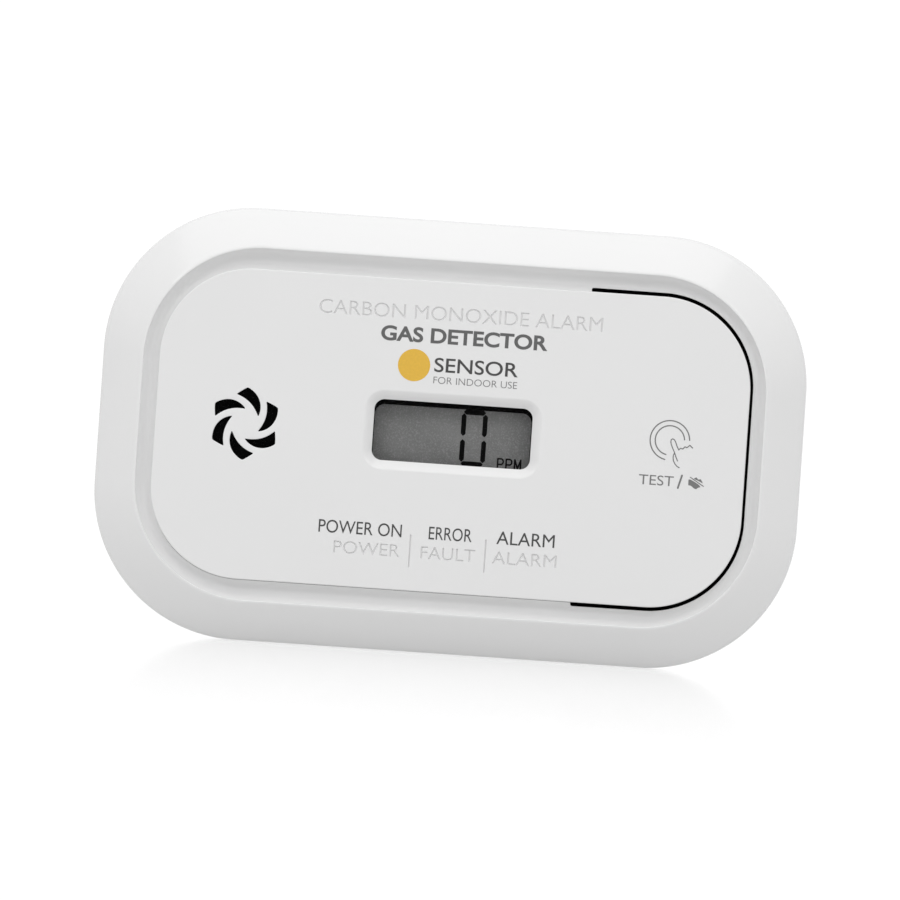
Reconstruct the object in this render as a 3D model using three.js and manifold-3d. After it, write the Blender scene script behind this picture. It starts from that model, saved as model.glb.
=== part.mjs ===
// Battery-powered carbon monoxide alarm that stands on a shelf or hangs on two wall screws.
// Millimetres. +X is to the right of someone facing it, +Z is up, and the front faces -Y.
// Every piece is drawn about the middle of the front, and the whole unit is then lifted onto its base.
import * as THREE from "three";
import { mergeVertices } from "three/addons/utils/BufferGeometryUtils.js";
import Module from "manifold-3d";

const wasm = await Module();
wasm.setup();

// ---------------------------------------------------------------- driving dimensions
const WIDTH = 118;
const HEIGHT = 72.5;
const FRONT_Y = -20;
const BACK_Y = 20;
const CORNER_R = 24.9;
const WALL = 2;
const GAP = 0.3; // free space between neighbouring pieces
const PARTING_Y = -5.85; // middle of the seam between the two covers
const FACETS = 8; // straight steps in each rounded corner

// Rounded rectangles: width, height, corner radius.
const OUTLINE = { w: WIDTH, h: HEIGHT, r: CORNER_R };
const CREST = { w: 104.3, h: 59, r: 19.5 }; // highest line of the bezel
const RIM = { w: 98.9, h: 52, r: 15.3 }; // edge of the flat panel
const SHOULDER_Y = -13.6; // where the side wall starts to turn into the bezel
const GROOVE_Y = -18.1;
const PANEL_Y = -19.6;
const PANEL_BACK_Y = PANEL_Y + WALL;
const ROOF_Y = -15.9; // inside of the case behind the groove

const BUTTON = { root: 21.9, slotX: 0.5, slotZ: 0.65, postX: 36.6, postR: 2 };
const GRILLE_X = -34.4;
const GRILLE_SLOTS = 6;
const CHAMBER_R = 12.7; // sounder chamber behind the grille
const DISPLAY = { x: 0.25, z: 0.6, w: 26.5, h: 10.2, r: 1.7, dish: 1.35, dishDepth: 0.8 };

const BOARD = { w: 100, h: 48, r: 14, front: -10, back: -8.4 };
const LAMPS = [
  { name: "power", x: -12.7, colour: 0xc9d8c4 },
  { name: "fault", x: 0.9, colour: 0xe2b45c },
  { name: "alarm", x: 13.7, colour: 0xd46a62 },
];
const LAMP_Z = -17.7;

const CASE_SCREW = { x: 46.8, z: 24, bore: 1.75, seatY: 2 };
const BOARD_SCREWS = [
  { x: -24, z: -19 },
  { x: 18, z: 19.5 },
];
const SENSOR_X = -38;

const CELL = { r: 7.15, can: 49.2, nubR: 2.7, nub: 1.3, y: 9.45, pitch: 15.2 };
const BAY = { left: -18, right: 40, half: 22.35, front: 2, wall: 1.5 };
const DOOR_X = (BAY.left + BAY.right) / 2;
const DOOR = { front: 18.2, half: BAY.half - GAP, tabX: 19, tabW: 8 };
const LATCH = { w: 12, top: -16, travel: 1.2 };
const LABEL = { w: 43.4, h: 23.4, z: 4, thick: 0.25 };
const KEYHOLE = { x: 49, z: 4, headR: 4.25, slotW: 3.8, rise: 7, deep: 5 };
const VENTS = { count: 6, w: 15, h: 1.6, pitch: 3.4 };

// ---------------------------------------------------------------- finishes
const finish = (color, roughness, metalness = 0) => ({ color, roughness, metalness });
const WHITE = finish(0xecebe8, 0.22);
const CLEAR = finish(0xdfe6e4, 0.05);
const LCD_GREY = finish(0x8d918a, 0.25);
const BLACK = finish(0x151515, 0.6);
const BOARD_GREEN = finish(0x1f5a36, 0.45);
const STEEL = finish(0xb9bcc0, 0.32, 1);
const BRASS = finish(0xc2a14d, 0.35, 1);
const RUBBER = finish(0x9a9a9a, 0.85);
const SLEEVE = finish(0x2e2f33, 0.35);
const LABEL_PAPER = finish(0xd9d9d6, 0.5);
const RED = finish(0xa92a22, 0.5);

// ---------------------------------------------------------------- geometry helpers
// Points of a rounded rectangle, anticlockwise as seen from the front, the same number for every size.
function ringPoints({ w, h, r }) {
  const points = [];
  for (let corner = 0; corner < 4; corner++) {
    const sx = corner === 0 || corner === 3 ? 1 : -1;
    const sz = corner < 2 ? 1 : -1;
    for (let i = 0; i <= FACETS; i++) {
      const angle = (corner + i / FACETS) * (Math.PI / 2);
      const x = sx * (w / 2 - r) + r * Math.cos(angle);
      points.push([x, sz * (h / 2 - r) + r * Math.sin(angle)]);
    }
  }
  return points;
}

// Closed body through rounded rectangles given from the back to the front, each at its own y.
function loft(rings, x = 0, z = 0) {
  const positions = [];
  const index = [];
  const count = ringPoints(rings[0]).length;
  for (const ring of rings) {
    for (const [px, pz] of ringPoints(ring)) positions.push(x + px, ring.y, z + pz);
  }
  const backCentre = positions.length / 3;
  positions.push(x, rings[0].y, z);
  const frontCentre = backCentre + 1;
  positions.push(x, rings.at(-1).y, z);
  const last = (rings.length - 1) * count;
  for (let j = 0; j < count; j++) {
    const next = (j + 1) % count;
    for (let i = 0; i < rings.length - 1; i++) {
      const a = i * count;
      const b = a + count;
      index.push(a + j, a + next, b + j, a + next, b + next, b + j);
    }
    index.push(backCentre, next, j, frontCentre, last + j, last + next);
  }
  const geometry = new THREE.BufferGeometry();
  geometry.setAttribute("position", new THREE.Float32BufferAttribute(positions, 3));
  geometry.setIndex(index);
  return geometry;
}

// Rounded rectangle part of the way from one outline to another, at depth y.
function between(from, to, t, y) {
  const mix = (key) => from[key] + (to[key] - from[key]) * t;
  return { w: mix("w"), h: mix("h"), r: mix("r"), y };
}

const at = (outline, y) => ({ ...outline, y });

const inset = ({ w, h, r }, by) => ({ w: w - 2 * by, h: h - 2 * by, r: r - by });

// Flat shape drawn in x and z, given a thickness from yFront to yBack.
function slab(shape, yFront, yBack) {
  const options = { depth: yBack - yFront, bevelEnabled: false, curveSegments: 6 };
  return new THREE.ExtrudeGeometry(shape, options).rotateX(Math.PI / 2).translate(0, yBack, 0);
}

function box(x, y, z) {
  const size = [x[1] - x[0], y[1] - y[0], z[1] - z[0]];
  const middle = [x, y, z].map(([low, high]) => (low + high) / 2);
  return new THREE.BoxGeometry(...size).translate(...middle);
}

const around = (middle, size) => [middle - size / 2, middle + size / 2];

// Round piece about an axis along y: profile points are [radius, y], front to back.
function turned(profile, x = 0, z = 0, segments = 20) {
  const points = profile.map(([radius, y]) => new THREE.Vector2(radius, y));
  return new THREE.LatheGeometry(points, segments).translate(x, 0, z);
}

const rod = (radius, yFront, yBack, x = 0, z = 0, segments = 16) =>
  turned([[0, yFront], [radius, yFront], [radius, yBack], [0, yBack]], x, z, segments);

// Washer or tube: the profile closes on itself.
const tube = (outer, inner, yFront, yBack, x = 0, z = 0, segments = 24) =>
  turned([[inner, yFront], [outer, yFront], [outer, yBack], [inner, yBack], [inner, yFront]],
    x, z, segments);

function solid(geometry) {
  const bare = geometry.clone();
  bare.deleteAttribute("normal");
  bare.deleteAttribute("uv");
  const merged = mergeVertices(bare, 1e-4);
  const mesh = {
    numProp: 3,
    vertProperties: new Float32Array(merged.attributes.position.array),
    triVerts: new Uint32Array(merged.index.array),
  };
  return new wasm.Manifold(new wasm.Mesh(mesh));
}

const join = (...geometries) => geometries.map(solid).reduce((sum, next) => sum.add(next));

const cut = (body, ...geometries) =>
  geometries.map(solid).reduce((rest, next) => rest.subtract(next), body);

function geometryOf(body) {
  const { numProp, vertProperties, triVerts } = body.getMesh();
  const positions = new Float32Array((vertProperties.length / numProp) * 3);
  for (let i = 0; i < positions.length / 3; i++) {
    positions.set(vertProperties.subarray(i * numProp, i * numProp + 3), i * 3);
  }
  const geometry = new THREE.BufferGeometry();
  geometry.setAttribute("position", new THREE.BufferAttribute(positions, 3));
  geometry.setIndex(new THREE.BufferAttribute(new Uint32Array(triVerts), 1));
  return geometry;
}

// A named piece from a three.js geometry or a cut body.
function piece(name, shape, look) {
  const geometry = shape.isBufferGeometry ? shape : geometryOf(shape);
  const mesh = new THREE.Mesh(geometry, new THREE.MeshStandardMaterial(look));
  mesh.name = name;
  return mesh;
}

const mirroredPairs = (x, z) => [[x, z], [-x, z], [-x, -z], [x, -z]];

// ---------------------------------------------------------------- covers
// Outer skin of the front cover: side wall, sloping band, crest, groove and flat panel.
function frontSkin() {
  const band = [[0, SHOULDER_Y], [0.05, -15], [0.18, -16.3], [0.39, -17.5], [0.66, -18.6], [0.93, -19.75]];
  const rings = [at(OUTLINE, PARTING_Y - GAP / 2)];
  for (const [t, y] of band) rings.push(between(OUTLINE, CREST, t, y));
  rings.push(at(CREST, FRONT_Y));
  rings.push(between(CREST, RIM, 0.12, FRONT_Y + 0.25));
  rings.push(between(CREST, RIM, 0.5, -18.75));
  rings.push(between(CREST, RIM, 0.86, GROOVE_Y));
  rings.push(between(CREST, RIM, 0.95, PANEL_Y + 0.2));
  rings.push(at(RIM, PANEL_Y));
  return loft(rings);
}

// The hollow of the front cover, 2 mm inside its skin.
function frontHollow() {
  const wall = inset(OUTLINE, WALL);
  return loft([
    at(wall, PARTING_Y + 1),
    at(wall, -12.6),
    { w: 109, h: 63.5, r: 20.9, y: -15.2 },
    { w: 101, h: 55.5, r: 17.5, y: ROOF_Y },
    { w: 96, h: 49, r: 14, y: ROOF_Y },
    { w: 95, h: 48, r: 13.5, y: PANEL_BACK_Y },
  ]);
}

// The slot that frees the test button, as the whole field inside its outer edge.
function buttonField() {
  const field = { w: RIM.w + 2 * BUTTON.slotX, h: RIM.h + 2 * BUTTON.slotZ, r: RIM.r + BUTTON.slotX };
  const right = box([BUTTON.root - GAP / 2, WIDTH], [-30, 0], [-HEIGHT, HEIGHT]);
  return solid(loft([at(field, ROOF_Y + 0.4), at(field, FRONT_Y - 5)])).intersect(solid(right));
}

// One curved vane opening of the spiral grille, turned about the grille's middle.
function vaneShape(turn) {
  const spot = (x, z) => new THREE.Vector2(x, z).rotateAround(new THREE.Vector2(0, 0), turn);
  const tip = spot(2.06, 1.36);
  const crown = spot(0, 6);
  const heel = spot(-1.69, 4.82);
  const outside = [spot(2.85, 2.6), spot(2, 4.9)];
  const inside = spot(1, 4.1);
  const shape = new THREE.Shape();
  shape.moveTo(GRILLE_X + tip.x, tip.y);
  shape.bezierCurveTo(
    GRILLE_X + outside[0].x, outside[0].y,
    GRILLE_X + outside[1].x, outside[1].y,
    GRILLE_X + crown.x, crown.y);
  shape.lineTo(GRILLE_X + heel.x, heel.y);
  shape.quadraticCurveTo(GRILLE_X + inside.x, inside.y, GRILLE_X + tip.x, tip.y);
  return shape;
}

function frontCover() {
  let cover = cut(solid(frontSkin()), frontHollow());
  cover = cover.subtract(buttonField());
  for (let i = 0; i < GRILLE_SLOTS; i++) {
    cover = cut(cover, slab(vaneShape((i * 2 * Math.PI) / GRILLE_SLOTS), FRONT_Y - 1, ROOF_Y));
  }
  const dished = { w: DISPLAY.w + 2 * DISPLAY.dish, h: DISPLAY.h + 2 * DISPLAY.dish, r: DISPLAY.r + 1 };
  const opening = [
    at(DISPLAY, ROOF_Y),
    at(DISPLAY, PANEL_Y + DISPLAY.dishDepth),
    at(dished, PANEL_Y),
    at(dished, FRONT_Y - 1),
  ];
  cover = cut(cover, loft(opening, DISPLAY.x, DISPLAY.z));
  for (const [x, z] of mirroredPairs(CASE_SCREW.x, CASE_SCREW.z)) {
    cover = cover.add(solid(rod(3.2, ROOF_Y + 0.4, PARTING_Y - 0.45, x, z)));
    cover = cut(cover, rod(CASE_SCREW.bore, -14, PARTING_Y, x, z, 12));
  }
  for (const { x, z } of BOARD_SCREWS) {
    cover = cover.add(solid(rod(2.6, PANEL_BACK_Y - 0.3, BOARD.front - GAP, x, z)));
    cover = cut(cover, rod(1.3, -16, BOARD.front, x, z, 12));
  }
  return piece("front_cover", cover, WHITE);
}

// The springy right-hand part of the panel, with the post that reaches the switch.
function testButton() {
  const right = box([BUTTON.root + GAP / 2, WIDTH], [-30, 0], [-HEIGHT, HEIGHT]);
  const plate = solid(loft([
    at(RIM, PANEL_BACK_Y),
    at(RIM, PANEL_Y + 0.2),
    at(inset(RIM, 0.2), PANEL_Y),
  ])).intersect(solid(right));
  const post = rod(BUTTON.postR, PANEL_BACK_Y - 0.2, -15.5, BUTTON.postX, 0);
  return piece("test_button", plate.add(solid(post)), WHITE);
}

// Keyhole: a round entry for the screw head with a narrower slot rising from it.
function keyholeShape(x) {
  const shape = new THREE.Shape();
  const half = KEYHOLE.slotW / 2;
  const meet = Math.acos(half / KEYHOLE.headR);
  shape.absarc(x, KEYHOLE.z, KEYHOLE.headR, Math.PI - meet, meet, false);
  shape.absarc(x, KEYHOLE.z + KEYHOLE.rise, half, 0, Math.PI, false);
  return shape;
}

// Room behind a keyhole for the screw head, as wide as the entry all the way up; by grows it outwards.
function keyholePocket(x, by) {
  const shape = new THREE.Shape();
  shape.absarc(x, KEYHOLE.z, KEYHOLE.headR + by, Math.PI, 2 * Math.PI, false);
  shape.absarc(x, KEYHOLE.z + KEYHOLE.rise, KEYHOLE.headR + by, 0, Math.PI, false);
  return shape;
}

function rearCover() {
  const edge = [[0, BACK_Y - 3.6], [0.35, BACK_Y - 2.2], [1.3, BACK_Y - 0.9], [2.7, BACK_Y - 0.2]];
  const seam = PARTING_Y + GAP / 2;
  const lip = inset(OUTLINE, WALL + GAP);
  const skin = [at(inset(OUTLINE, 3.8), BACK_Y)];
  for (const [by, y] of edge.toReversed()) skin.push(at(inset(OUTLINE, by), y));
  skin.push(at(OUTLINE, seam), at(lip, seam), at(lip, seam - 2.3));
  const hollow = [
    at(inset(OUTLINE, WALL + 2), BACK_Y - WALL),
    at(inset(OUTLINE, WALL), BACK_Y - 4),
    at(inset(OUTLINE, WALL), seam + 2.2),
    at(inset(OUTLINE, WALL + GAP + 1), seam + 2.2),
    at(inset(OUTLINE, WALL + GAP + 1), seam - 5),
  ];
  let cover = cut(solid(loft(skin)), loft(hollow));
  const bayOuter = box(
    [BAY.left - BAY.wall, BAY.right + BAY.wall],
    [BAY.front - BAY.wall, BACK_Y - 1],
    [-BAY.half - BAY.wall, BAY.half + BAY.wall]);
  cover = cover.add(solid(bayOuter));
  for (const [x, z] of mirroredPairs(CASE_SCREW.x, CASE_SCREW.z)) {
    cover = cover.add(solid(rod(4.4, seam, BACK_Y - 1.5, x, z)));
    cover = cut(cover,
      rod(3.3, CASE_SCREW.seatY, BACK_Y + 1, x, z),
      rod(CASE_SCREW.bore, seam - 1, CASE_SCREW.seatY + 1, x, z, 12));
  }
  cover = cut(cover, box([BAY.left, BAY.right], [BAY.front, BACK_Y + 1], [-BAY.half, BAY.half]));
  for (const side of [-1, 1]) {
    const x = side * KEYHOLE.x;
    const floorY = BACK_Y - KEYHOLE.deep;
    const tabHole = around(DOOR_X + side * DOOR.tabX, DOOR.tabW + 0.8);
    cover = cut(cover, box(tabHole, [15.4, BACK_Y - WALL], [BAY.half - 1, BAY.half + 2.4]));
    cover = cover.add(solid(slab(keyholePocket(x, 1.2), floorY - 1, BACK_Y - 1)));
    cover = cut(cover,
      slab(keyholePocket(x, 0), floorY, BACK_Y - WALL),
      slab(keyholeShape(x), BACK_Y - WALL - 1, BACK_Y + 1));
  }
  const fingerNotch = box(around(DOOR_X, LATCH.w + 2), [14.5, BACK_Y + 1], [-BAY.half - 2.05, -BAY.half + 1]);
  const redLugHole = box([BAY.right - 1, BAY.right + 3], [4.5, 7.5], around(CELL.pitch, 1.5));
  const blackLugHole = box([BAY.left - 3, BAY.left + 1], [4.5, 7.5], around(-CELL.pitch, 1.5));
  cover = cut(cover, fingerNotch, redLugHole, blackLugHole);
  for (let i = 0; i < VENTS.count; i++) {
    const z = (i - (VENTS.count - 1) / 2) * VENTS.pitch;
    cover = cut(cover, box(around(SENSOR_X + 1, VENTS.w), [BACK_Y - 3, BACK_Y + 1], around(z, VENTS.h)));
  }
  return piece("rear_cover", cover, WHITE);
}

function caseScrews() {
  const head = CASE_SCREW.seatY + GAP;
  const profile = [[0, -13], [0.8, -12.6], [1.4, -11.4], [1.4, head], [2.9, head], [2.9, head + 1.5],
    [2.2, head + 2.1], [0.9, head + 2.1], [0.9, head + 1], [0, head + 1]];
  return mirroredPairs(CASE_SCREW.x, CASE_SCREW.z).map(([x, z], i) =>
    piece(`case_screw_${i + 1}`, turned(profile, x, z, 12), STEEL));
}

// ---------------------------------------------------------------- battery door
function batteryDoor() {
  const plate = box([BAY.left + GAP, BAY.right - GAP], [DOOR.front, BACK_Y], [-DOOR.half, DOOR.half]);
  let door = solid(plate);
  const shelf = box(around(DOOR_X, LATCH.w + 3), [17, DOOR.front + 0.2], [-19, -13]);
  for (const side of [-1, 1]) {
    const span = around(DOOR_X + side * DOOR.tabX, DOOR.tabW);
    const rib = box(around(DOOR_X + side * 14, 1.4), [17.2, DOOR.front + 0.2], [-18, 18]);
    door = door.add(join(
      rib,
      box(span, [16.2, DOOR.front + 0.2], [DOOR.half - 1.5, DOOR.half]),
      box(span, [16.2, 17.6], [DOOR.half - 0.5, DOOR.half + 1.2])));
  }
  const notchTop = LATCH.top + LATCH.travel + GAP;
  door = cut(door,
    box(around(DOOR_X, LATCH.w + 2 * GAP), [DOOR.front - 1, BACK_Y + 1], [-DOOR.half - 1, notchTop]));
  door = door.add(solid(shelf));
  door = cut(door, box(
    around(DOOR_X, LABEL.w + 2 * GAP),
    [BACK_Y - LABEL.thick - GAP, BACK_Y + 1],
    around(LABEL.z, LABEL.h + 2 * GAP)));
  return piece("battery_door", door, WHITE);
}

// Sliding catch: a grooved finger pad, with a hook that reaches under the rear cover.
function doorLatch() {
  const span = around(DOOR_X, LATCH.w);
  let latch = join(
    box(span, [18.4, BACK_Y], [-DOOR.half, LATCH.top]),
    box(around(DOOR_X, LATCH.w - 2), [15.9, 18.6], [-DOOR.half, -20.6]),
    box(around(DOOR_X, LATCH.w - 2), [15.9, 17.5], [-DOOR.half - 1.25, -21.5]));
  for (const z of [-17.4, -18.9, -20.4]) {
    latch = cut(latch, box(around(DOOR_X, LATCH.w - 3), [BACK_Y - 0.5, BACK_Y + 1], around(z, 0.7)));
  }
  return piece("battery_door_latch", latch, WHITE);
}

const doorLabel = () =>
  piece("door_label",
    box(around(DOOR_X, LABEL.w), [BACK_Y - LABEL.thick, BACK_Y], around(LABEL.z, LABEL.h)), LABEL_PAPER);

// ---------------------------------------------------------------- cells and contacts
const PLATE = { thick: 0.5, w: 11, spring: 4.9 };
const LEFT_PLATE = BAY.left + GAP;
const RIGHT_PLATE = BAY.right - GAP;

// Three AA cells lying along x, with every other one turned round.
function cells() {
  const { r, can, nubR, nub } = CELL;
  const profile = [[0, 0], [r - 0.8, 0], [r, 0.5], [r, can - 0.6], [r - 0.7, can],
    [nubR, can], [nubR, can + nub], [0, can + nub]];
  return [1, 0, -1].map((row, i) => {
    const cell = piece(`battery_cell_${i + 1}`, turned(profile, 0, 0, 18), SLEEVE);
    const towardsRight = row !== 0;
    const reach = PLATE.thick + 0.6;
    cell.rotation.z = towardsRight ? -Math.PI / 2 : Math.PI / 2;
    const tip = towardsRight ? RIGHT_PLATE - reach : LEFT_PLATE + reach;
    const base = towardsRight ? tip - can - nub : tip + can + nub;
    cell.position.set(base, CELL.y, row * CELL.pitch);
    return cell;
  });
}

// Sheet contact on one end wall of the bay. side is 1 on the right and -1 on the left.
function contact(name, side, zLow, zHigh, springZ, dimpleZ, lugZ) {
  const outer = side > 0 ? RIGHT_PLATE : LEFT_PLATE;
  const inner = outer - side * PLATE.thick;
  const span = (a, b) => [Math.min(a, b), Math.max(a, b)];
  let body = solid(box(span(outer, inner), [3, 15.8], [zLow, zHigh]));
  const stub = (radius, tip, length, z) =>
    new THREE.CylinderGeometry(tip, radius, length + 0.2, 14)
      .rotateZ((side * Math.PI) / 2)
      .translate(inner - side * (length / 2 - 0.1), CELL.y, z);
  if (springZ !== null) body = body.add(solid(stub(4.2, 2.6, PLATE.spring, springZ)));
  if (dimpleZ !== null) body = body.add(solid(stub(2, 1.4, 0.3, dimpleZ)));
  if (lugZ !== null) {
    body = body.add(solid(box(span(inner, outer + side * 3.3), [5, 7], around(lugZ, 0.5))));
  }
  return piece(name, body, STEEL);
}

function contacts() {
  const { pitch } = CELL;
  const half = PLATE.w / 2;
  return [
    contact("contact_positive", 1, pitch - half, pitch + half, null, pitch, pitch),
    contact("contact_negative", -1, -pitch - half, -pitch + half, -pitch, null, -pitch),
    contact("contact_bridge_left", -1, -half, pitch + half, pitch, 0, null),
    contact("contact_bridge_right", 1, -pitch - half, half, 0, -pitch, null),
  ];
}

// Insulated wire from a contact's lug to the back of the board.
function lead(name, points, look) {
  const path = new THREE.CatmullRomCurve3(points.map((p) => new THREE.Vector3(...p)));
  const section = new THREE.Shape().absarc(0, 0, 0.75, 0, 2 * Math.PI, false);
  const options = { extrudePath: path, steps: 12, bevelEnabled: false, curveSegments: 4 };
  return piece(name, new THREE.ExtrudeGeometry(section, options), look);
}

function leads() {
  const lugY = 6;
  const boardY = BOARD.back + GAP;
  const redX = RIGHT_PLATE + 3.3 + GAP;
  const blackX = LEFT_PLATE - 3.3 - GAP;
  const z = CELL.pitch;
  return [
    lead("battery_lead_positive",
      [[redX, lugY, z], [redX + 2, 4.5, z - 1], [redX + 2, -3, z - 5], [redX + 1.5, boardY, z - 7]], RED),
    lead("battery_lead_negative",
      [[blackX, lugY, -z], [blackX - 2, 4.5, -z], [blackX - 2, -3, -z + 1], [blackX - 1.5, boardY, -z + 1]],
      BLACK),
  ];
}

// ---------------------------------------------------------------- board and display
function mainBoard() {
  let board = solid(loft([at(BOARD, BOARD.back), at(BOARD, BOARD.front)]));
  for (const { x, z } of BOARD_SCREWS) board = cut(board, rod(1.4, -12, -6, x, z, 12));
  return piece("main_board", board, BOARD_GREEN);
}

function boardScrews() {
  const head = BOARD.back + GAP;
  const profile = [[0, -15], [1, -14.6], [1, head], [2.2, head], [2.2, head + 1], [1.6, head + 1.5], [0, head + 1.5]];
  return BOARD_SCREWS.map(({ x, z }, i) =>
    piece(`board_screw_${i + 1}`, turned(profile, x, z, 12), STEEL));
}

// Parts soldered to the back of the board.
function boardParts() {
  const y = BOARD.back + GAP;
  return [
    piece("microcontroller", box(around(3, 10), [y, y + 1.6], around(10, 10)), BLACK),
    piece("horn_transformer", turned([[0, y], [4, y], [4.5, y + 0.8], [4.5, y + 6.4], [4, y + 7.2], [0, y + 7.2]],
      -8, -12, 16), BLACK),
    piece("capacitor", turned([[0, y], [3.15, y], [3.15, y + 7], [2.8, y + 7.4], [0, y + 7.4]], 26, -12, 16),
      SLEEVE),
  ];
}

function display() {
  const windowFront = PANEL_BACK_Y + GAP;
  const holderFront = windowFront + 1 + GAP;
  const { x, z } = DISPLAY;
  const shapeBox = (w, h, r, yFront, yBack, dz = 0) =>
    loft([{ w, h, r, y: yBack }, { w, h, r, y: yFront }], x, z + dz);
  const boardFront = BOARD.front - GAP;
  let holder = solid(shapeBox(34, 18.4, 1.2, holderFront, boardFront));
  holder = cut(holder,
    shapeBox(26.1, 9.4, 1.5, holderFront - 1, boardFront, -0.75),
    shapeBox(31.6, 15.2, 0.6, holderFront + 0.8, boardFront + 1));
  const glassFront = holderFront + 1.1;
  return [
    piece("display_window", shapeBox(30.5, 14.2, 1.5, windowFront, windowFront + 1), CLEAR),
    piece("display_holder", holder, BLACK),
    piece("display_glass", shapeBox(31, 14.6, 0.4, glassFront, glassFront + 2.2), LCD_GREY),
    piece("display_connector_strip",
      box(around(x, 28), [glassFront + 2.5, boardFront], around(z - 5, 2.4)), RUBBER),
  ];
}

function lamps() {
  const y = BOARD.front - GAP;
  const span = [LAMPS[0].x - 5, LAMPS[2].x + 5];
  const block = box(span, [PANEL_BACK_Y + GAP, y], around(LAMP_Z, 7.4));
  const wells = LAMPS.map(({ x }) => rod(2.6, FRONT_Y, y + 1, x, LAMP_Z, 14));
  const dome = [[0, y - 3.8], [0.9, y - 3.5], [1.5, y - 2.6], [1.5, y - 0.8], [1.9, y - 0.8], [1.9, y], [0, y]];
  return [
    piece("lamp_light_guide", cut(solid(block), ...wells), BLACK),
    ...LAMPS.map(({ name, x, colour }) =>
      piece(`lamp_${name}`, turned(dome, x, LAMP_Z, 12), finish(colour, 0.2))),
  ];
}

function testSwitch() {
  const y = BOARD.front - GAP;
  const body = box(around(BUTTON.postX, 6), [y - 3.5, y], around(0, 6));
  return [
    piece("test_switch_body", cut(solid(body), rod(2.1, y - 4, y - 1.4, BUTTON.postX, 0)), BLACK),
    piece("test_switch_plunger", rod(1.7, -15.2, y - 2.6, BUTTON.postX, 0), RUBBER),
  ];
}

// ---------------------------------------------------------------- sounder and gas sensor
function sounder() {
  const front = PANEL_BACK_Y + GAP;
  const y = BOARD.front - GAP;
  const bore = CHAMBER_R - 1.1;
  const chamber = [[8, front], [CHAMBER_R, front], [CHAMBER_R, y], [bore, y], [bore, front + 1],
    [8, front + 1], [8, front]];
  const springs = [-5, 5].map((offset, i) =>
    piece(`sounder_spring_${i + 1}`, rod(1, y - 2.2, y, GRILLE_X + offset, 0, 10), BRASS));
  return [
    piece("sounder_chamber", turned(chamber, GRILLE_X, 0, 28), BLACK),
    piece("insect_screen", rod(7.6, front, front + 0.4, GRILLE_X, 0, 20), BLACK),
    piece("piezo_disc", rod(bore - GAP, y - 3, y - 2.5, GRILLE_X, 0, 24), BRASS),
    piece("sounder_support_ring", tube(bore - GAP, bore - 1.8, y - 2.2, y, GRILLE_X, 0), RUBBER),
    ...springs,
  ];
}

function gasSensor() {
  const y = BOARD.back + GAP;
  const can = [[0, y], [9, y], [9, y + 1], [9.5, y + 1.4], [9.5, y + 13], [9, y + 13.8], [0, y + 13.8]];
  const capY = y + 14.1;
  const cap = [[2.2, capY], [9.5, capY], [9.5, capY + 1.6], [8.9, capY + 2.2], [2.2, capY + 2.2], [2.2, capY]];
  return [
    piece("gas_sensor_body", turned(can, SENSOR_X, 0, 20), SLEEVE),
    piece("gas_sensor_cap", turned(cap, SENSOR_X, 0, 20), STEEL),
    piece("gas_sensor_filter", rod(7, capY + 2.5, capY + 3.7, SENSOR_X, 0, 18), RUBBER),
  ];
}

// ---------------------------------------------------------------- assembly
const alarm = new THREE.Group();
alarm.name = "carbon_monoxide_alarm";
alarm.position.z = HEIGHT / 2;
alarm.add(
  frontCover(),
  testButton(),
  rearCover(),
  ...caseScrews(),
  batteryDoor(),
  doorLatch(),
  doorLabel(),
  ...cells(),
  ...contacts(),
  ...leads(),
  mainBoard(),
  ...boardScrews(),
  ...boardParts(),
  ...display(),
  ...lamps(),
  ...testSwitch(),
  ...sounder(),
  ...gasSensor(),
);

export default alarm;
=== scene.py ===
"""Carbon monoxide alarm: a white shelf or wall unit with a springy test panel, a small
number display and a battery door at the back.

Shapes are worked out in millimetres as (x, y, height about the middle of the front), with
the front facing -y, and are written to their meshes in metres in the row frame.
"""

import math
from collections import namedtuple

import bmesh
import bpy
import numpy as np
from bpy.props import FloatProperty, FloatVectorProperty, PointerProperty, StringProperty
from mathutils import Matrix, Vector
from mathutils.geometry import delaunay_2d_cdt


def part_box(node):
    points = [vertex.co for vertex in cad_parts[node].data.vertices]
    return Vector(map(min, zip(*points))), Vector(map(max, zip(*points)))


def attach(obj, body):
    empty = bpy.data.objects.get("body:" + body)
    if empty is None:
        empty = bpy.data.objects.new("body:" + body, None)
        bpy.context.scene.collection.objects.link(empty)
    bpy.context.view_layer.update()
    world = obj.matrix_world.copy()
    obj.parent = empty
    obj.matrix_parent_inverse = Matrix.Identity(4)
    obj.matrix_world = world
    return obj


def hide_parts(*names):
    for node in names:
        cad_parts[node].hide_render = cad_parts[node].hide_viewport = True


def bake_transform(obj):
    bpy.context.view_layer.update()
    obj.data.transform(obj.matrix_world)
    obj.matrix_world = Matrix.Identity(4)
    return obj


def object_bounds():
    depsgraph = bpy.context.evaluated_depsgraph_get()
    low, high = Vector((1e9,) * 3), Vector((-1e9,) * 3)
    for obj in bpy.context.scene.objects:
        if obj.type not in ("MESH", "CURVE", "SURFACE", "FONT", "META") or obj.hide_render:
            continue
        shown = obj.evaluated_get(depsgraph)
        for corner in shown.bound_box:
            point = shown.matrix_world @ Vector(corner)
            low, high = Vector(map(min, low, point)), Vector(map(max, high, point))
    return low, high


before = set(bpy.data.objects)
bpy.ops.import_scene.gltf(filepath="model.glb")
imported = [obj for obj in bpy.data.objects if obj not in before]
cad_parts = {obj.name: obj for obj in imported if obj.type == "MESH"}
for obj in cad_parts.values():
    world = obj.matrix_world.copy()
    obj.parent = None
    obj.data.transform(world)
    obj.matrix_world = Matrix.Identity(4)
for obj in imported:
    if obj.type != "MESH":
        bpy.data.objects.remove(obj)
CAD_LOW, CAD_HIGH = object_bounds()

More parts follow.
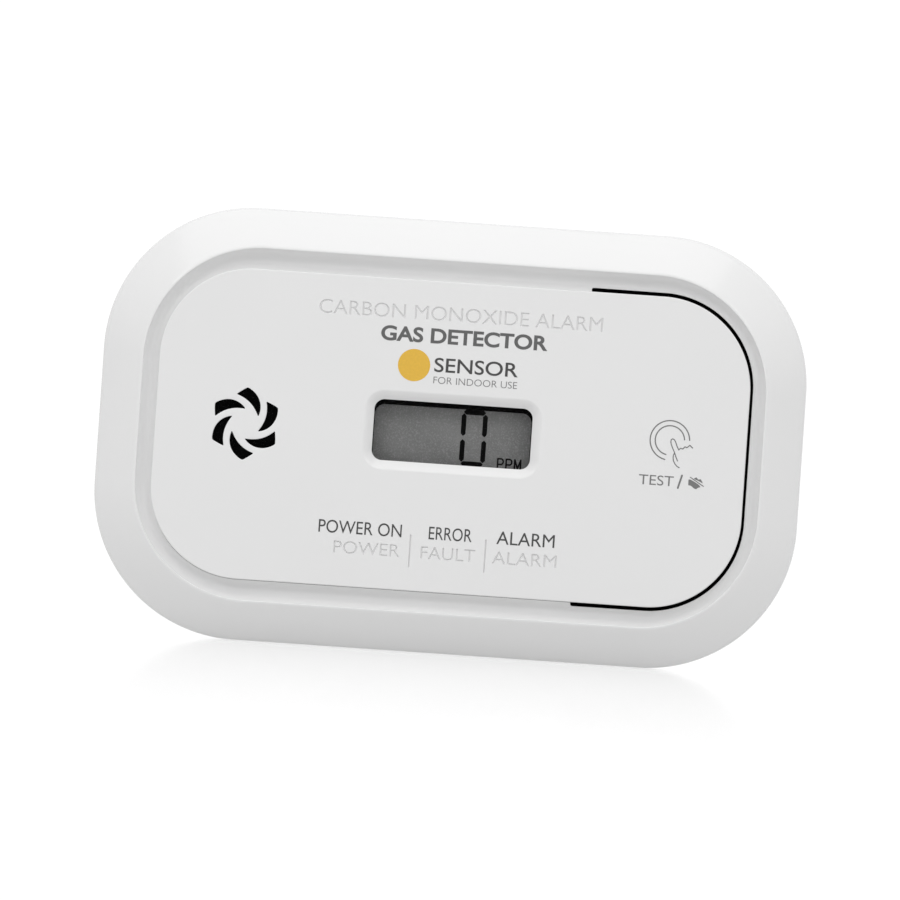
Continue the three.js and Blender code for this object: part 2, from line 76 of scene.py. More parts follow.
bl_info = {
    "name": "Carbon monoxide alarm",
    "version": (1, 0, 0),
    "blender": (4, 5, 0),
    "location": "3D View > Sidebar > Alarm",
    "description": "Builds the alarm's covers, panel, display, lettering, battery bay and studio",
    "category": "Object",
}

# ------------------------------------------------------------------ sizes taken from the frame
MIDDLE = (CAD_LOW.z + CAD_HIGH.z) / 2 * 1000  # height of the front's middle
WIDTH = (CAD_HIGH.x - CAD_LOW.x) * 1000
HEIGHT = (CAD_HIGH.z - CAD_LOW.z) * 1000
BACK_Y = CAD_HIGH.y * 1000


def cad(node):
    """Lowest and highest corner of a CAD node, in millimetres about the middle of the front."""
    low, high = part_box(node)
    shift = np.array((0.0, 0.0, MIDDLE))
    return np.array(low) * 1000 - shift, np.array(high) * 1000 - shift


Ring = namedtuple("Ring", "width height corner")
OUTLINE = Ring(WIDTH, HEIGHT, 24.9)
CREST = Ring(104.3, 59.0, 19.5)  # highest line of the front bezel
RIM = Ring(98.9, 52.0, 15.3)  # edge of the flat panel
PANEL_Y = cad("test_button")[0][1]
PANEL_BACK = PANEL_Y + 2
SHOULDER_Y = -13.6  # where the side wall starts to turn over into the bezel
GROOVE_START = 0.05  # where the crest's rounding gives way to the groove
GROOVE_T = 0.57  # where the groove is deepest, as a share of the way from crest to rim
GROOVE_DROP = 1.75  # depth of the groove where it is widest
GROOVE_WIDE = (CREST.height - RIM.height) / 2
GROOVE_EDGES = (-19.65, -19.4)  # level of the groove's line at the crest and at the rim
CREST_Y = -19.985
LIP_Y = -16.3  # back of the bezel's inner edge
UNDER_T = 1.03  # how far the bezel runs on under the panel
SEAM_FRONT_Y = cad("front_cover")[1][1]
SEAM_REAR_Y = -5.7
WALL = 2.0
INNER_RINGS = ((Ring(101, 55.5, 17.5), -15.9), (Ring(109, 63.5, 20.9), -15.2))  # inside of the bezel
HINGE_X = cad("test_button")[0][0] - 0.15
SLOT_END = 0.5  # rounding at the two ends of the slot
FLEX = (20.0, 24.0)  # the panel bends between these two lines
POST_X = (cad("test_switch_plunger")[0][0] + cad("test_switch_plunger")[1][0]) / 2
GRILLE_X = -34.4
WINDOW = Ring(26.5, 10.2, 1.7)
WINDOW_AT = (0.25, 0.6)
LCD_Y = cad("display_glass")[0][1]
DOOR_LOW, DOOR_HIGH = cad("battery_door")
DOOR_X = (DOOR_LOW[0] + DOOR_HIGH[0]) / 2
BAY = {"left": -18.0, "right": 40.0, "half": 22.35, "floor": 2.0, "wall": 1.5}
PLATE_IN_Y = BACK_Y - WALL
WELLS = [(x, z) for x in (-46.8, 46.8) for z in (-24.0, 24.0)]
VENTS = {"x": -36.7, "pitch": 3.4, "count": 6}
DOOR_IN_Y = 18.2
TAB_X = 19.0  # the door's tabs, either side of its middle
LABEL_Z = 4.0
LATCH_LOW, LATCH_HIGH = cad("battery_door_latch")
KEYHOLES = {"x": 49.0, "z": 4.0, "head": 4.25, "slot": 1.9, "rise": 7.0, "floor": 15.0}
HEADING = {"width": 47.5, "cap": 2.4, "x": 0.4, "z": 20.55}
ENGRAVED = (("POWER", 11.1, -12.7), ("FAULT", 9.1, 0.9), ("ALARM", 10.8, 13.7))  # word, width, x
ENGRAVED_Z, ENGRAVED_CAP = -19.45, 2.1
BAR, BARS_X, BARS_Z = Ring(0.28, 5.6, 0.13), (-5.5, 7.1), -19.35  # upright bars between the lamps
CAPTIONS = (("POWER ON", 13.9, -14.0), ("ERROR", 7.2, 1.1), ("ALARM", 9.7, 13.7))  # word, width, x
CAPTIONS_Z, CAPTIONS_CAP = -16.1, 2.16
DIGIT_X = (2.06, 5.63)  # upright bars of the digit
DIGIT_Z = (2.36, -1.98)
DIGIT_MIDDLE = 3.82
SINK = 0.05  # how far print reaches into the panel
CELL_NODES = ("battery_cell_1", "battery_cell_2", "battery_cell_3")
CELL_Y = 9.45  # the cells' axes
CELL_PITCH = 15.2
CELL_CAN = 49.2  # length of a cell without its nub
CELL_MIDDLE = (BAY["left"] + BAY["right"]) / 2000  # metres

# ------------------------------------------------------------------ paths
CORNER_STEPS = 40


def path_units(along_x, along_z, steps=CORNER_STEPS):
    """Unit path round a rounded rectangle, anticlockwise from the right-hand side.

    A point is straight * (half size - corner) + turn * corner, so every rounded rectangle
    made from the same units has its points in step, and turn is its outward normal.
    """
    angle = np.linspace(0, math.pi / 2, steps + 1)
    straight, turn = [], []
    signs = ((1, 1), (-1, 1), (-1, -1), (1, -1))
    sides = (
        (along_x[::-1], None, (0, 1)),
        (None, along_z[::-1], (-1, 0)),
        (along_x, None, (0, -1)),
        (None, along_z, (1, 0)),
    )
    for k, (sign, (xs, zs, normal)) in enumerate(zip(signs, sides)):
        straight.append(np.tile(np.array(sign, float), (steps + 1, 1)))
        turn.append(np.column_stack((np.cos(angle + k * math.pi / 2), np.sin(angle + k * math.pi / 2))))
        count = len(zs) if xs is None else len(xs)
        if xs is None:
            side = np.column_stack((np.full(count, float(normal[0])), zs))
        else:
            side = np.column_stack((xs, np.full(count, float(normal[1]))))
        straight.append(side)
        turn.append(np.tile(np.array(normal, float), (count, 1)))
    return np.concatenate(straight), np.concatenate(turn)


EVEN = np.linspace(-0.8, 0.8, 5)
PLAIN_PATH = path_units(EVEN, EVEN)
CRUDE_PATH = path_units(np.zeros(0), np.zeros(0), 8)


def front_path():
    """Path for the front pieces, with extra stops across the bend line and the slot's ends."""
    reach = RIM.width / 2 - RIM.corner
    bend = np.arange(19.0, 25.01, 0.5)
    ends = HINGE_X + SLOT_END * (1 - np.cos(np.linspace(0.15, math.pi / 2, 9)))
    spread = np.linspace(-0.9, 0.9, 13) * reach
    stops = np.concatenate((bend, ends, spread[(spread < 19) | (spread > 25)]))
    return path_units(np.unique(np.round(stops, 4)) / reach, EVEN)


FRONT_PATH = front_path()


def ring_points(ring, path):
    """Points of a rounded rectangle on a unit path."""
    straight, turn = path
    reach = (ring.width / 2 - ring.corner, ring.height / 2 - ring.corner)
    return straight * reach + turn * ring.corner


class Loop:
    """A closed line in x and height, with its outward normals."""

    def __init__(self, points, normals):
        self.points = points
        self.normals = normals

    def out(self, by):
        """The same line moved outwards by a distance."""
        return self.points + self.normals * by


def rounded_rectangle(ring, x=0.0, z=0.0, path=CRUDE_PATH):
    """Loop of a rounded rectangle about (x, z)."""
    return Loop(ring_points(ring, path) + (x, z), path[1])


def round_angles(steps):
    """Even angles once round a circle, without the last, which is the first again."""
    return np.arange(steps) * (2 * math.pi / steps)


def circle(radius, x, z, steps=48):
    """Points at even angles round a centre."""
    angle = round_angles(steps)
    normals = np.column_stack((np.cos(angle), np.sin(angle)))
    return Loop(normals * radius + (x, z), normals)


def rounded_polygon(corners, radii, steps=5):
    """Anticlockwise polygon with an arc of its own radius at each corner.

    The arc's normals turn evenly from one side's normal to the next, about a centre that
    lies one radius inside an outer corner or outside an inner one.
    """
    corners = np.array(corners, float)
    points, normals = [], []
    for before, corner, after, radius in zip(
        np.roll(corners, 1, axis=0), corners, np.roll(corners, -1, axis=0), radii
    ):
        first = (corner - before) / np.linalg.norm(corner - before)
        second = (after - corner) / np.linalg.norm(after - corner)
        bend = math.atan2(first[0] * second[1] - first[1] * second[0], first @ second)
        start = math.atan2(-first[0], first[1])
        side = math.copysign(1, bend)
        tangent = radius * math.tan(abs(bend) / 2)
        angle = start + np.linspace(0, bend, steps + 1)
        turned = np.column_stack((np.cos(angle), np.sin(angle)))
        centre = corner - first * tangent - side * radius * turned[0]
        points.append(centre + side * radius * turned)
        normals.append(turned)
    return Loop(np.concatenate(points), np.concatenate(normals))


def smooth_loop(points, count, passes):
    """Closed line through given points, set at even spacing and softened.

    Each pass moves every point to a quarter of its two neighbours and half of itself, which
    rounds the corners, and the normals are square to the line between the neighbours.
    """
    closed = np.concatenate((points, points[:1]))
    length = np.concatenate(((0,), np.cumsum(np.linalg.norm(np.diff(closed, axis=0), axis=1))))
    even = np.linspace(0, length[-1], count, endpoint=False)
    made = np.column_stack([np.interp(even, length, closed[:, k]) for k in (0, 1)])
    for _ in range(passes):
        made = (np.roll(made, 1, axis=0) + 2 * made + np.roll(made, -1, axis=0)) / 4
    along = np.roll(made, -1, axis=0) - np.roll(made, 1, axis=0)
    along /= np.linalg.norm(along, axis=1)[:, None]
    normals = np.column_stack((along[:, 1], -along[:, 0]))
    area = np.sum(made[:, 0] * np.roll(made[:, 1], -1) - np.roll(made[:, 0], -1) * made[:, 1])
    return Loop(made, normals if area > 0 else -normals)


def bezier(controls, count):
    """Points of a Bezier curve of any degree, by the Bernstein sum."""
    controls = np.array(controls, float)
    t = np.linspace(0, 1, count)[:, None]
    last = len(controls) - 1
    share = [math.comb(last, k) * t**k * (1 - t) ** (last - k) for k in range(last + 1)]
    return sum(s * c for s, c in zip(share, controls))


def quarter_round(radius, face_y, into, side, steps=4):
    """Rows (offset, y) of a quarter round that starts on a wall and ends on a face.

    into is +1 where the solid lies at larger y than the face. side is -1 for an outer edge,
    which draws in, and +1 for an opening's edge, which spreads out.
    """
    angle = np.linspace(0, math.pi / 2, steps + 1)
    return [
        (side * radius * (1 - math.cos(a)), face_y + into * radius * (1 - math.sin(a)))
        for a in angle
    ]


# ------------------------------------------------------------------ mesh making
SHARP = math.radians(32)
WELD = 2e-6


def inside(spots, segments):
    """For each spot, whether a line to the right of it crosses the outline an odd number of times."""
    x, z = spots[:, 0, None], spots[:, 1, None]
    ax, az = segments[None, :, 0, 0], segments[None, :, 0, 1]
    bx, bz = segments[None, :, 1, 0], segments[None, :, 1, 1]
    spans = (az > z) != (bz > z)
    rise = np.where(spans, bz - az, 1.0)
    crossing = ax + (z - az) * (bx - ax) / rise
    return (spans & (crossing > x)).sum(axis=1) % 2 == 1


class Shell:
    """Gathers the patches of one piece, in millimetres, and welds them into a closed mesh."""

    def __init__(self):
        self.points = []
        self.faces = []
        self.slots = []
        self.count = 0

    def add(self, points, faces, slot=0):
        """Points (n, 3) and faces that number them from 0."""
        self.points.append(np.asarray(points, float))
        self.faces.extend([[i + self.count for i in face] for face in faces])
        self.slots.extend([slot] * len(faces))
        self.count += len(points)

    def grid(self, rows, slot=0, closed=True):
        """Quads between neighbouring rows of points; rows is (rows, points, 3)."""
        rows = np.asarray(rows, float)
        index = np.arange(rows.shape[0] * rows.shape[1]).reshape(rows.shape[:2])
        after = np.roll(index, -1, axis=1)
        if not closed:
            index, after = index[:, :-1], after[:, :-1]
        quads = np.stack((index[:-1], after[:-1], after[1:], index[1:]), axis=-1)
        self.add(rows.reshape(-1, 3), quads.reshape(-1, 4).tolist(), slot)

    def wall(self, loop, rows, slot=0):
        """A loop carried along (offset, y) rows."""
        made = []
        for offset, y in rows:
            line = loop.out(offset)
            made.append(np.column_stack((line[:, 0], np.full(len(line), y), line[:, 1])))
        self.grid(made, slot)

    def cap(self, y, lines, spots=None, slot=0):
        """Flat face at y between closed lines; a line inside another is a hole."""
        edges, start = [], 0
        for line in lines:
            index = np.arange(len(line)) + start
            edges.append(np.column_stack((index, np.roll(index, -1))))
            start += len(line)
        edges = np.concatenate(edges)
        flat = np.concatenate(lines)
        everything = flat if spots is None else np.concatenate((flat, spots))
        found = delaunay_2d_cdt(everything.tolist(), edges.tolist(), [], 0, 1e-5)
        points = np.array(found[0])
        triangles = np.array(found[2])
        keep = inside(points[triangles].mean(axis=1), flat[edges])
        placed = np.column_stack((points[:, 0], np.full(len(points), y), points[:, 1]))
        self.add(placed, triangles[keep].tolist(), slot)

    def prism(self, loop, y_a, y_b, round_a=0.0, round_b=0.0, slot=0):
        """A closed block between two faces at y_a < y_b, each with a rounded edge."""
        rows = [(0, y_a)] if round_a == 0 else quarter_round(round_a, y_a, 1, -1)[::-1]
        rows += [(0, y_b)] if round_b == 0 else quarter_round(round_b, y_b, -1, -1)
        self.wall(loop, rows, slot)
        self.cap(y_a, [loop.out(rows[0][0])], slot=slot)
        self.cap(y_b, [loop.out(rows[-1][0])], slot=slot)

    def block(self, xs, ys, zs, corner=0.3, edge=0.2, slot=0):
        """A box with rounded upright corners and rounded rims."""
        ring = Ring(xs[1] - xs[0], zs[1] - zs[0], corner)
        loop = rounded_rectangle(ring, sum(xs) / 2, sum(zs) / 2, path_units(np.zeros(0), np.zeros(0), 3))
        self.prism(loop, ys[0], ys[1], edge, edge, slot)

    def turned(self, profile, x, z, steps=48, slot=0):
        """A profile of (radius, y) turned about an upright line through (x, z)."""
        angle = round_angles(steps)
        profile = np.array(profile, float)
        rows = np.stack(
            (
                x + profile[:, :1] * np.cos(angle),
                np.repeat(profile[:, 1:], steps, axis=1),
                z + profile[:, :1] * np.sin(angle),
            ),
            axis=-1,
        )
        self.grid(rows, slot)

    def tube(self, line, across, radius, sides=10, slot=0):
        """A round wire along a line, with closed ends.

        across is a direction at each point that isn't along the wire; the section's two axes
        are that direction made square to the wire, and the cross product of the two.
        """
        along = np.gradient(line, axis=0)
        along /= np.linalg.norm(along, axis=1)[:, None]
        first = across - along * np.sum(across * along, axis=1)[:, None]
        first /= np.linalg.norm(first, axis=1)[:, None]
        second = np.cross(along, first)
        angle = round_angles(sides)
        ringed = (
            np.cos(angle)[None, :, None] * first[:, None, :]
            + np.sin(angle)[None, :, None] * second[:, None, :]
        )
        rows = line[:, None, :] + radius * ringed
        start = np.repeat(line[:1, None, :], sides, axis=1)
        end = np.repeat(line[-1:, None, :], sides, axis=1)
        self.grid(np.concatenate((start, rows, end)), slot)

    def heights(self, xs, zs, top, bottom, slot=0):
        """A closed block whose two broad faces are heights y over a grid of x and z."""
        gx, gz = np.meshgrid(xs, zs)
        upper = np.stack((gx, np.broadcast_to(top, gx.shape), gz), axis=-1)
        lower = np.stack((gx, np.broadcast_to(bottom, gx.shape), gz), axis=-1)
        self.grid(upper, slot, closed=False)
        self.grid(lower, slot, closed=False)
        for edge in (np.s_[0, :], np.s_[-1, :], np.s_[:, 0], np.s_[:, -1]):
            self.grid(np.stack((upper[edge], lower[edge])), slot, closed=False)

    def swap(self, order):
        """Puts the axes of everything so far into another order."""
        self.points = [p[:, order] for p in self.points]

    def make(self, name, body, materials, replaces=(), soften=True, weld=True):
        """The finished object: welded, faces outwards, on its body, with its materials."""
        points = np.concatenate(self.points) / 1000
        points[:, 2] += MIDDLE / 1000
        mesh = bpy.data.meshes.new(name)
        mesh.from_pydata(points, [], self.faces)
        for material in materials:
            mesh.materials.append(material)
        mesh.polygons.foreach_set("material_index", np.array(self.slots, np.int32))
        work = bmesh.new()
        work.from_mesh(mesh)
        if weld:
            bmesh.ops.remove_doubles(work, verts=work.verts, dist=WELD)
            bmesh.ops.dissolve_degenerate(work, edges=work.edges, dist=1e-7)
        bmesh.ops.recalc_face_normals(work, faces=work.faces)
        work.to_mesh(mesh)
        work.free()
        mesh.polygons.foreach_set("use_smooth", np.ones(len(mesh.polygons), bool))
        mesh.set_sharp_from_angle(angle=SHARP)
        piece = bpy.data.objects.new(name, mesh)
        bpy.context.scene.collection.objects.link(piece)
        if soften:
            weighted = piece.modifiers.new("even shading", "WEIGHTED_NORMAL")
            weighted.keep_sharp = True
            weighted.weight = 80
        if body:
            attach(piece, body)
        if replaces:
            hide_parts(*replaces)
        return piece


def word_mesh(words, weight, thick, fineness=6):
    """Points, as shares of the words' own box, and faces of words set in the built-in type."""
    curve = bpy.data.curves.new("lettering", "FONT")
    curve.body = words
    curve.extrude = thick
    curve.offset = weight
    curve.resolution_u = fineness
    holder = bpy.data.objects.new("lettering", curve)
    bpy.context.scene.collection.objects.link(holder)
    bpy.context.view_layer.update()
    seen = holder.evaluated_get(bpy.context.evaluated_depsgraph_get())
    mesh = bpy.data.meshes.new_from_object(seen)
    flat = np.empty(len(mesh.vertices) * 3)
    mesh.vertices.foreach_get("co", flat)
    flat = flat.reshape(-1, 3)
    low, high = flat.min(axis=0), flat.max(axis=0)
    share = (flat - low) / np.maximum(high - low, 1e-9)
    faces = [list(p.vertices) for p in mesh.polygons]
    bpy.data.objects.remove(holder)
    bpy.data.curves.remove(curve)
    bpy.data.meshes.remove(mesh)
    return share, faces


def lettering(shell, words, width, cap, x, z, face_y, depth, weight=0.0, facing=-1):
    """Adds words as thin blocks, stretched to a width and a capital height about (x, z).

    facing is -1 for words read from the front and +1 for words read from the back.
    """
    share, faces = word_mesh(words, weight, 0.1)
    points = np.column_stack(
        (
            x - facing * (share[:, 0] - 0.5) * width,
            face_y - facing * (1 - share[:, 2]) * depth,
            z + (share[:, 1] - 0.5) * cap,
        )
    )
    shell.add(points, faces)


def letter_loops(words, width, cap, x, z, weight=0.0):
    """Outlines of the strokes of words read from the front, with normals out of the strokes.

    An outline is a chain of the flat words' free edges, which all run with the stroke on
    their left. A point's normal is the mean of its two edges' right-hand sides, lengthened
    so that the line keeps its distance when it is moved.
    """
    share, faces = word_mesh(words, weight, 0.0)
    flat = (share[:, :2] - 0.5) * (width, cap) + (x, z)
    edges = {(a, b) for face in faces for a, b in zip(face, face[1:] + face[:1])}
    follows = {a: b for a, b in edges if (b, a) not in edges}
    loops = []
    while follows:
        at, chain = next(iter(follows)), []
        while at in follows:
            chain.append(at)
            at = follows.pop(at)
        line = flat[chain]
        if np.sum(line[:, 0] * np.roll(line[:, 1], -1) - np.roll(line[:, 0], -1) * line[:, 1]) == 0:
            continue
        along = np.roll(line, -1, axis=0) - line
        along /= np.maximum(np.linalg.norm(along, axis=1), 1e-9)[:, None]
        right = np.column_stack((along[:, 1], -along[:, 0]))
        both = right + np.roll(right, 1, axis=0)
        both /= np.maximum(np.linalg.norm(both, axis=1), 1e-9)[:, None]
        reach = np.maximum(np.sum(both * right, axis=1), 0.6)
        loops.append(Loop(line, both / reach[:, None]))
    return loops


def engraved_loops(front):
    """Outlines of everything engraved in the panel: the heading, the lamps' names, two bars."""
    loops = letter_loops(front.heading, weight=front.engraved_weight, **HEADING)
    for words, width, x in ENGRAVED:
        loops += letter_loops(words, width, ENGRAVED_CAP, x, ENGRAVED_Z, front.engraved_weight)
    path = path_units(np.zeros(0), EVEN, 3)
    return loops + [rounded_rectangle(BAR, x, BARS_Z, path) for x in BARS_X]


def stroke(points, width, count=40):
    """Outline of a pen stroke of even width along a line, with round ends."""
    points = np.array(points, float)
    length = np.concatenate(((0,), np.cumsum(np.linalg.norm(np.diff(points, axis=0), axis=1))))
    even = np.linspace(0, length[-1], count)
    line = np.column_stack([np.interp(even, length, points[:, k]) for k in (0, 1)])
    along = np.gradient(line, axis=0)
    along /= np.linalg.norm(along, axis=1)[:, None]
    normal = np.column_stack((-along[:, 1], along[:, 0])) * width / 2
    turn = np.linspace(0, math.pi, 7)[1:-1, None]
    end = line[-1] + np.cos(turn) * normal[-1] + np.sin(turn) * along[-1] * width / 2
    start = line[0] - np.cos(turn) * normal[0] - np.sin(turn) * along[0] * width / 2
    outline = np.concatenate((line + normal, end, (line - normal)[::-1], start))
    return Loop(outline, np.zeros_like(outline))


# ------------------------------------------------------------------ finishes
class Nodes:
    """A material with one Principled shader, and short ways to add nodes to it."""

    def __init__(self, name, colour, roughness, metallic=0.0, **sockets):
        self.material = bpy.data.materials.new(name)
        self.material.use_nodes = True
        self.tree = self.material.node_tree
        self.tree.nodes.clear()
        self.shader = self.tree.nodes.new("ShaderNodeBsdfPrincipled")
        output = self.tree.nodes.new("ShaderNodeOutputMaterial")
        self.link(self.shader.outputs["BSDF"], output.inputs["Surface"])
        self.shader.inputs["Base Color"].default_value = (*colour, 1)
        self.shader.inputs["Roughness"].default_value = roughness
        self.shader.inputs["Metallic"].default_value = metallic
        for key, value in sockets.items():
            socket = key.replace("_", " ").title().replace("Ior", "IOR")
            self.shader.inputs[socket].default_value = value
        self.colour = colour
        self.roughness = roughness
        self.place = self.tree.nodes.new("ShaderNodeTexCoord").outputs["Object"]

    def link(self, source, target):
        """Joins an output to an input."""
        self.tree.links.new(source, target)

    def node(self, kind, inputs=None, **settings):
        """Adds a node; an input is a number, a colour or another node's output."""
        made = self.tree.nodes.new(kind)
        for key, value in settings.items():
            setattr(made, key, value)
        for key, value in (inputs or {}).items():
            if isinstance(value, bpy.types.NodeSocket):
                self.link(value, made.inputs[key])
            else:
                made.inputs[key].default_value = value
        return made

    def noise(self, scale, detail=3.0, stretch=(1, 1, 1)):
        """Cloudy pattern with features about 1 / scale metres across."""
        place = self.node("ShaderNodeMapping", {"Vector": self.place, "Scale": stretch})
        inputs = {"Vector": place.outputs["Vector"], "Scale": scale, "Detail": detail}
        return self.node("ShaderNodeTexNoise", inputs).outputs["Fac"]

    def spread(self, value, low, high, start=0.3, end=0.7):
        """Maps a pattern to a range."""
        inputs = {"Value": value, "From Min": start, "From Max": end, "To Min": low, "To Max": high}
        return self.node("ShaderNodeMapRange", inputs).outputs["Result"]

    def math(self, operation, a, b=0.0):
        """Result of one sum on two numbers."""
        return self.node("ShaderNodeMath", {0: a, 1: b}, operation=operation).outputs["Value"]

    def mix(self, share, first, second):
        """Colour between two colours."""
        made = self.node("ShaderNodeMix", {"Factor": share}, data_type="RGBA")
        for socket, value in (("A", first), ("B", second)):
            target = next(i for i in made.inputs if i.name == socket and i.type == "RGBA")
            if isinstance(value, bpy.types.NodeSocket):
                self.link(value, target)
            else:
                target.default_value = (*value, 1)
        return next(o for o in made.outputs if o.type == "RGBA")

    def vary(self, pattern, amount):
        """Base colour wanders darker by up to amount with a pattern."""
        darker = tuple(c * (1 - amount) for c in self.colour)
        share = self.spread(pattern, 0, 1, 0.2, 0.8)
        self.link(self.mix(share, self.colour, darker), self.shader.inputs["Base Color"])

    def polish(self, pattern, amount):
        """Roughness wanders by amount either way with a pattern."""
        value = self.spread(pattern, self.roughness - amount, self.roughness + amount, 0.2, 0.8)
        self.link(value, self.shader.inputs["Roughness"])

    def relief(self, *layers):
        """Stacks bumps; each layer is (height, strength, depth in metres)."""
        normal = None
        for height, strength, depth in layers:
            inputs = {"Height": height, "Strength": strength, "Distance": depth}
            if normal is not None:
                inputs["Normal"] = normal
            normal = self.node("ShaderNodeBump", inputs).outputs["Normal"]
        self.link(normal, self.shader.inputs["Normal"])


def moulded_plastic(name, colour, roughness, grain, depth, mottle=0.015, shine=0.5):
    """Injection-moulded plastic: faint clouding, uneven polish and a fine mould grain."""
    made = Nodes(name, colour, roughness, specular_ior_level=shine)
    made.vary(made.noise(38, 2), mottle)
    made.polish(made.noise(90, 3), 0.03)
    made.relief((made.noise(45, 1), 0.2, 0.00004), (made.noise(grain, 3), 0.3, depth))
    return made.material


def brushed_metal(name, colour, roughness, stretch=(1, 1, 14)):
    """Metal with fine lines along one axis and a slightly stained colour."""
    made = Nodes(name, colour, roughness, 1.0)
    lines = made.noise(900, 3, stretch)
    made.vary(made.noise(160, 5), 0.22)
    made.polish(lines, 0.08)
    made.relief((lines, 0.25, 0.00002))
    return made.material


def solder_mask(name, colour):
    """Circuit board lacquer over copper tracks: stepped bands of a distorted wave show as lines."""
    made = Nodes(name, colour, 0.38)
    wave = made.node(
        "ShaderNodeTexWave",
        {"Vector": made.place, "Scale": 130.0, "Distortion": 9.0, "Detail": 0.0, "Detail Scale": 1.2},
        bands_direction="DIAGONAL",
    ).outputs["Fac"]
    tracks = made.spread(wave, 0, 1, 0.68, 0.74)
    lighter = tuple(min(1.0, c * 1.9 + 0.01) for c in colour)
    made.link(made.mix(tracks, colour, lighter), made.shader.inputs["Base Color"])
    made.relief((tracks, 0.5, 0.00004), (made.noise(600, 3), 0.1, 0.00002))
    return made.material


def woven_cloth(name, colour):
    """Fine black gauze: crossed waves at right angles for the bump, with dusty tops."""
    made = Nodes(name, colour, 0.85, specular_ior_level=0.08)
    weave = []
    for direction in ("X", "Z"):
        weave.append(
            made.node(
                "ShaderNodeTexWave",
                {"Vector": made.place, "Scale": 900.0, "Distortion": 0.3},
                bands_direction=direction,
            ).outputs["Fac"]
        )
    both = made.math("MULTIPLY", weave[0], weave[1])
    made.vary(made.noise(220, 4), 0.4)
    made.polish(made.noise(500, 2), 0.06)
    made.relief((both, 0.6, 0.0001))
    return made.material


def printed_ink(name, colour, shine=0.3):
    """Pad-printed ink: nearly even, with pinholes where the coat is thin."""
    made = Nodes(name, colour, 0.42, specular_ior_level=shine)
    made.vary(made.noise(2600, 2), 0.12)
    made.polish(made.noise(900, 3), 0.05)
    made.relief((made.noise(1800, 2), 0.15, 0.00001))
    return made.material


def display_grey(name, colour):
    """Reflective liquid crystal cell: dull grey with a faint speckle and soft clouds."""
    made = Nodes(name, colour, 0.35, specular_ior_level=0.2)
    speckle = made.spread(made.noise(5200, 1), 0, 1, 0.5, 0.75)
    clouds = made.spread(made.noise(300, 3), 0, 1)
    lighter = tuple(c * 1.3 for c in colour)
    darker = tuple(c * 0.84 for c in colour)
    cloudy = made.mix(clouds, darker, colour)
    made.link(made.mix(speckle, cloudy, lighter), made.shader.inputs["Base Color"])
    made.polish(made.noise(700, 2), 0.05)
    return made.material


def clear_window(name):
    """Clear lens with hardly any shine of its own, and faint handling smears."""
    made = Nodes(name, (0.02, 0.02, 0.02), 0.08, alpha=0.06, specular_ior_level=0.03)
    made.polish(made.noise(90, 4), 0.04)
    made.relief((made.noise(60, 2), 0.1, 0.00002))
    return made.material


def tinted_lens(name, colour):
    """Diffused lamp body: milky colour with fine swirls."""
    made = Nodes(name, colour, 0.22, coat_weight=0.3)
    made.vary(made.noise(900, 3), 0.15)
    made.polish(made.noise(400, 3), 0.04)
    return made.material


def wire_jacket(name, colour):
    """Soft insulation with long drawing marks."""
    made = Nodes(name, colour, 0.5)
    made.vary(made.noise(300, 4), 0.12)
    made.polish(made.noise(900, 3, (1, 6, 1)), 0.08)
    made.relief((made.noise(1200, 2, (1, 6, 1)), 0.2, 0.00002))
    return made.material


def cell_sleeve(name, dark, band):
    """Shrink sleeve of a cell: dark, with a lighter printed band near each end and a gloss coat."""
    made = Nodes(name, dark, 0.3, coat_weight=0.35)
    split = made.node("ShaderNodeSeparateXYZ", {"Vector": made.place}).outputs
    distance = made.math("ABSOLUTE", made.math("SUBTRACT", split["X"], CELL_MIDDLE))
    near = made.spread(distance, 0, 1, 0.0188, 0.0189)
    far = made.spread(distance, 1, 0, 0.0213, 0.0214)
    stripe = made.math("MULTIPLY", near, far)
    clouded = made.mix(made.spread(made.noise(420, 4), 0, 1), dark, tuple(c * 0.75 for c in dark))
    made.link(made.mix(stripe, clouded, band), made.shader.inputs["Base Color"])
    made.polish(made.noise(260, 4), 0.07)
    made.relief((made.noise(150, 3), 0.12, 0.00005))
    return made.material


def label_paper(name, colour):
    """Coated label stock with faint fibres."""
    made = Nodes(name, colour, 0.55)
    made.vary(made.noise(1500, 5, (1, 1, 3)), 0.05)
    made.polish(made.noise(300, 3), 0.06)
    made.relief((made.noise(2400, 4), 0.2, 0.00001))
    return made.material


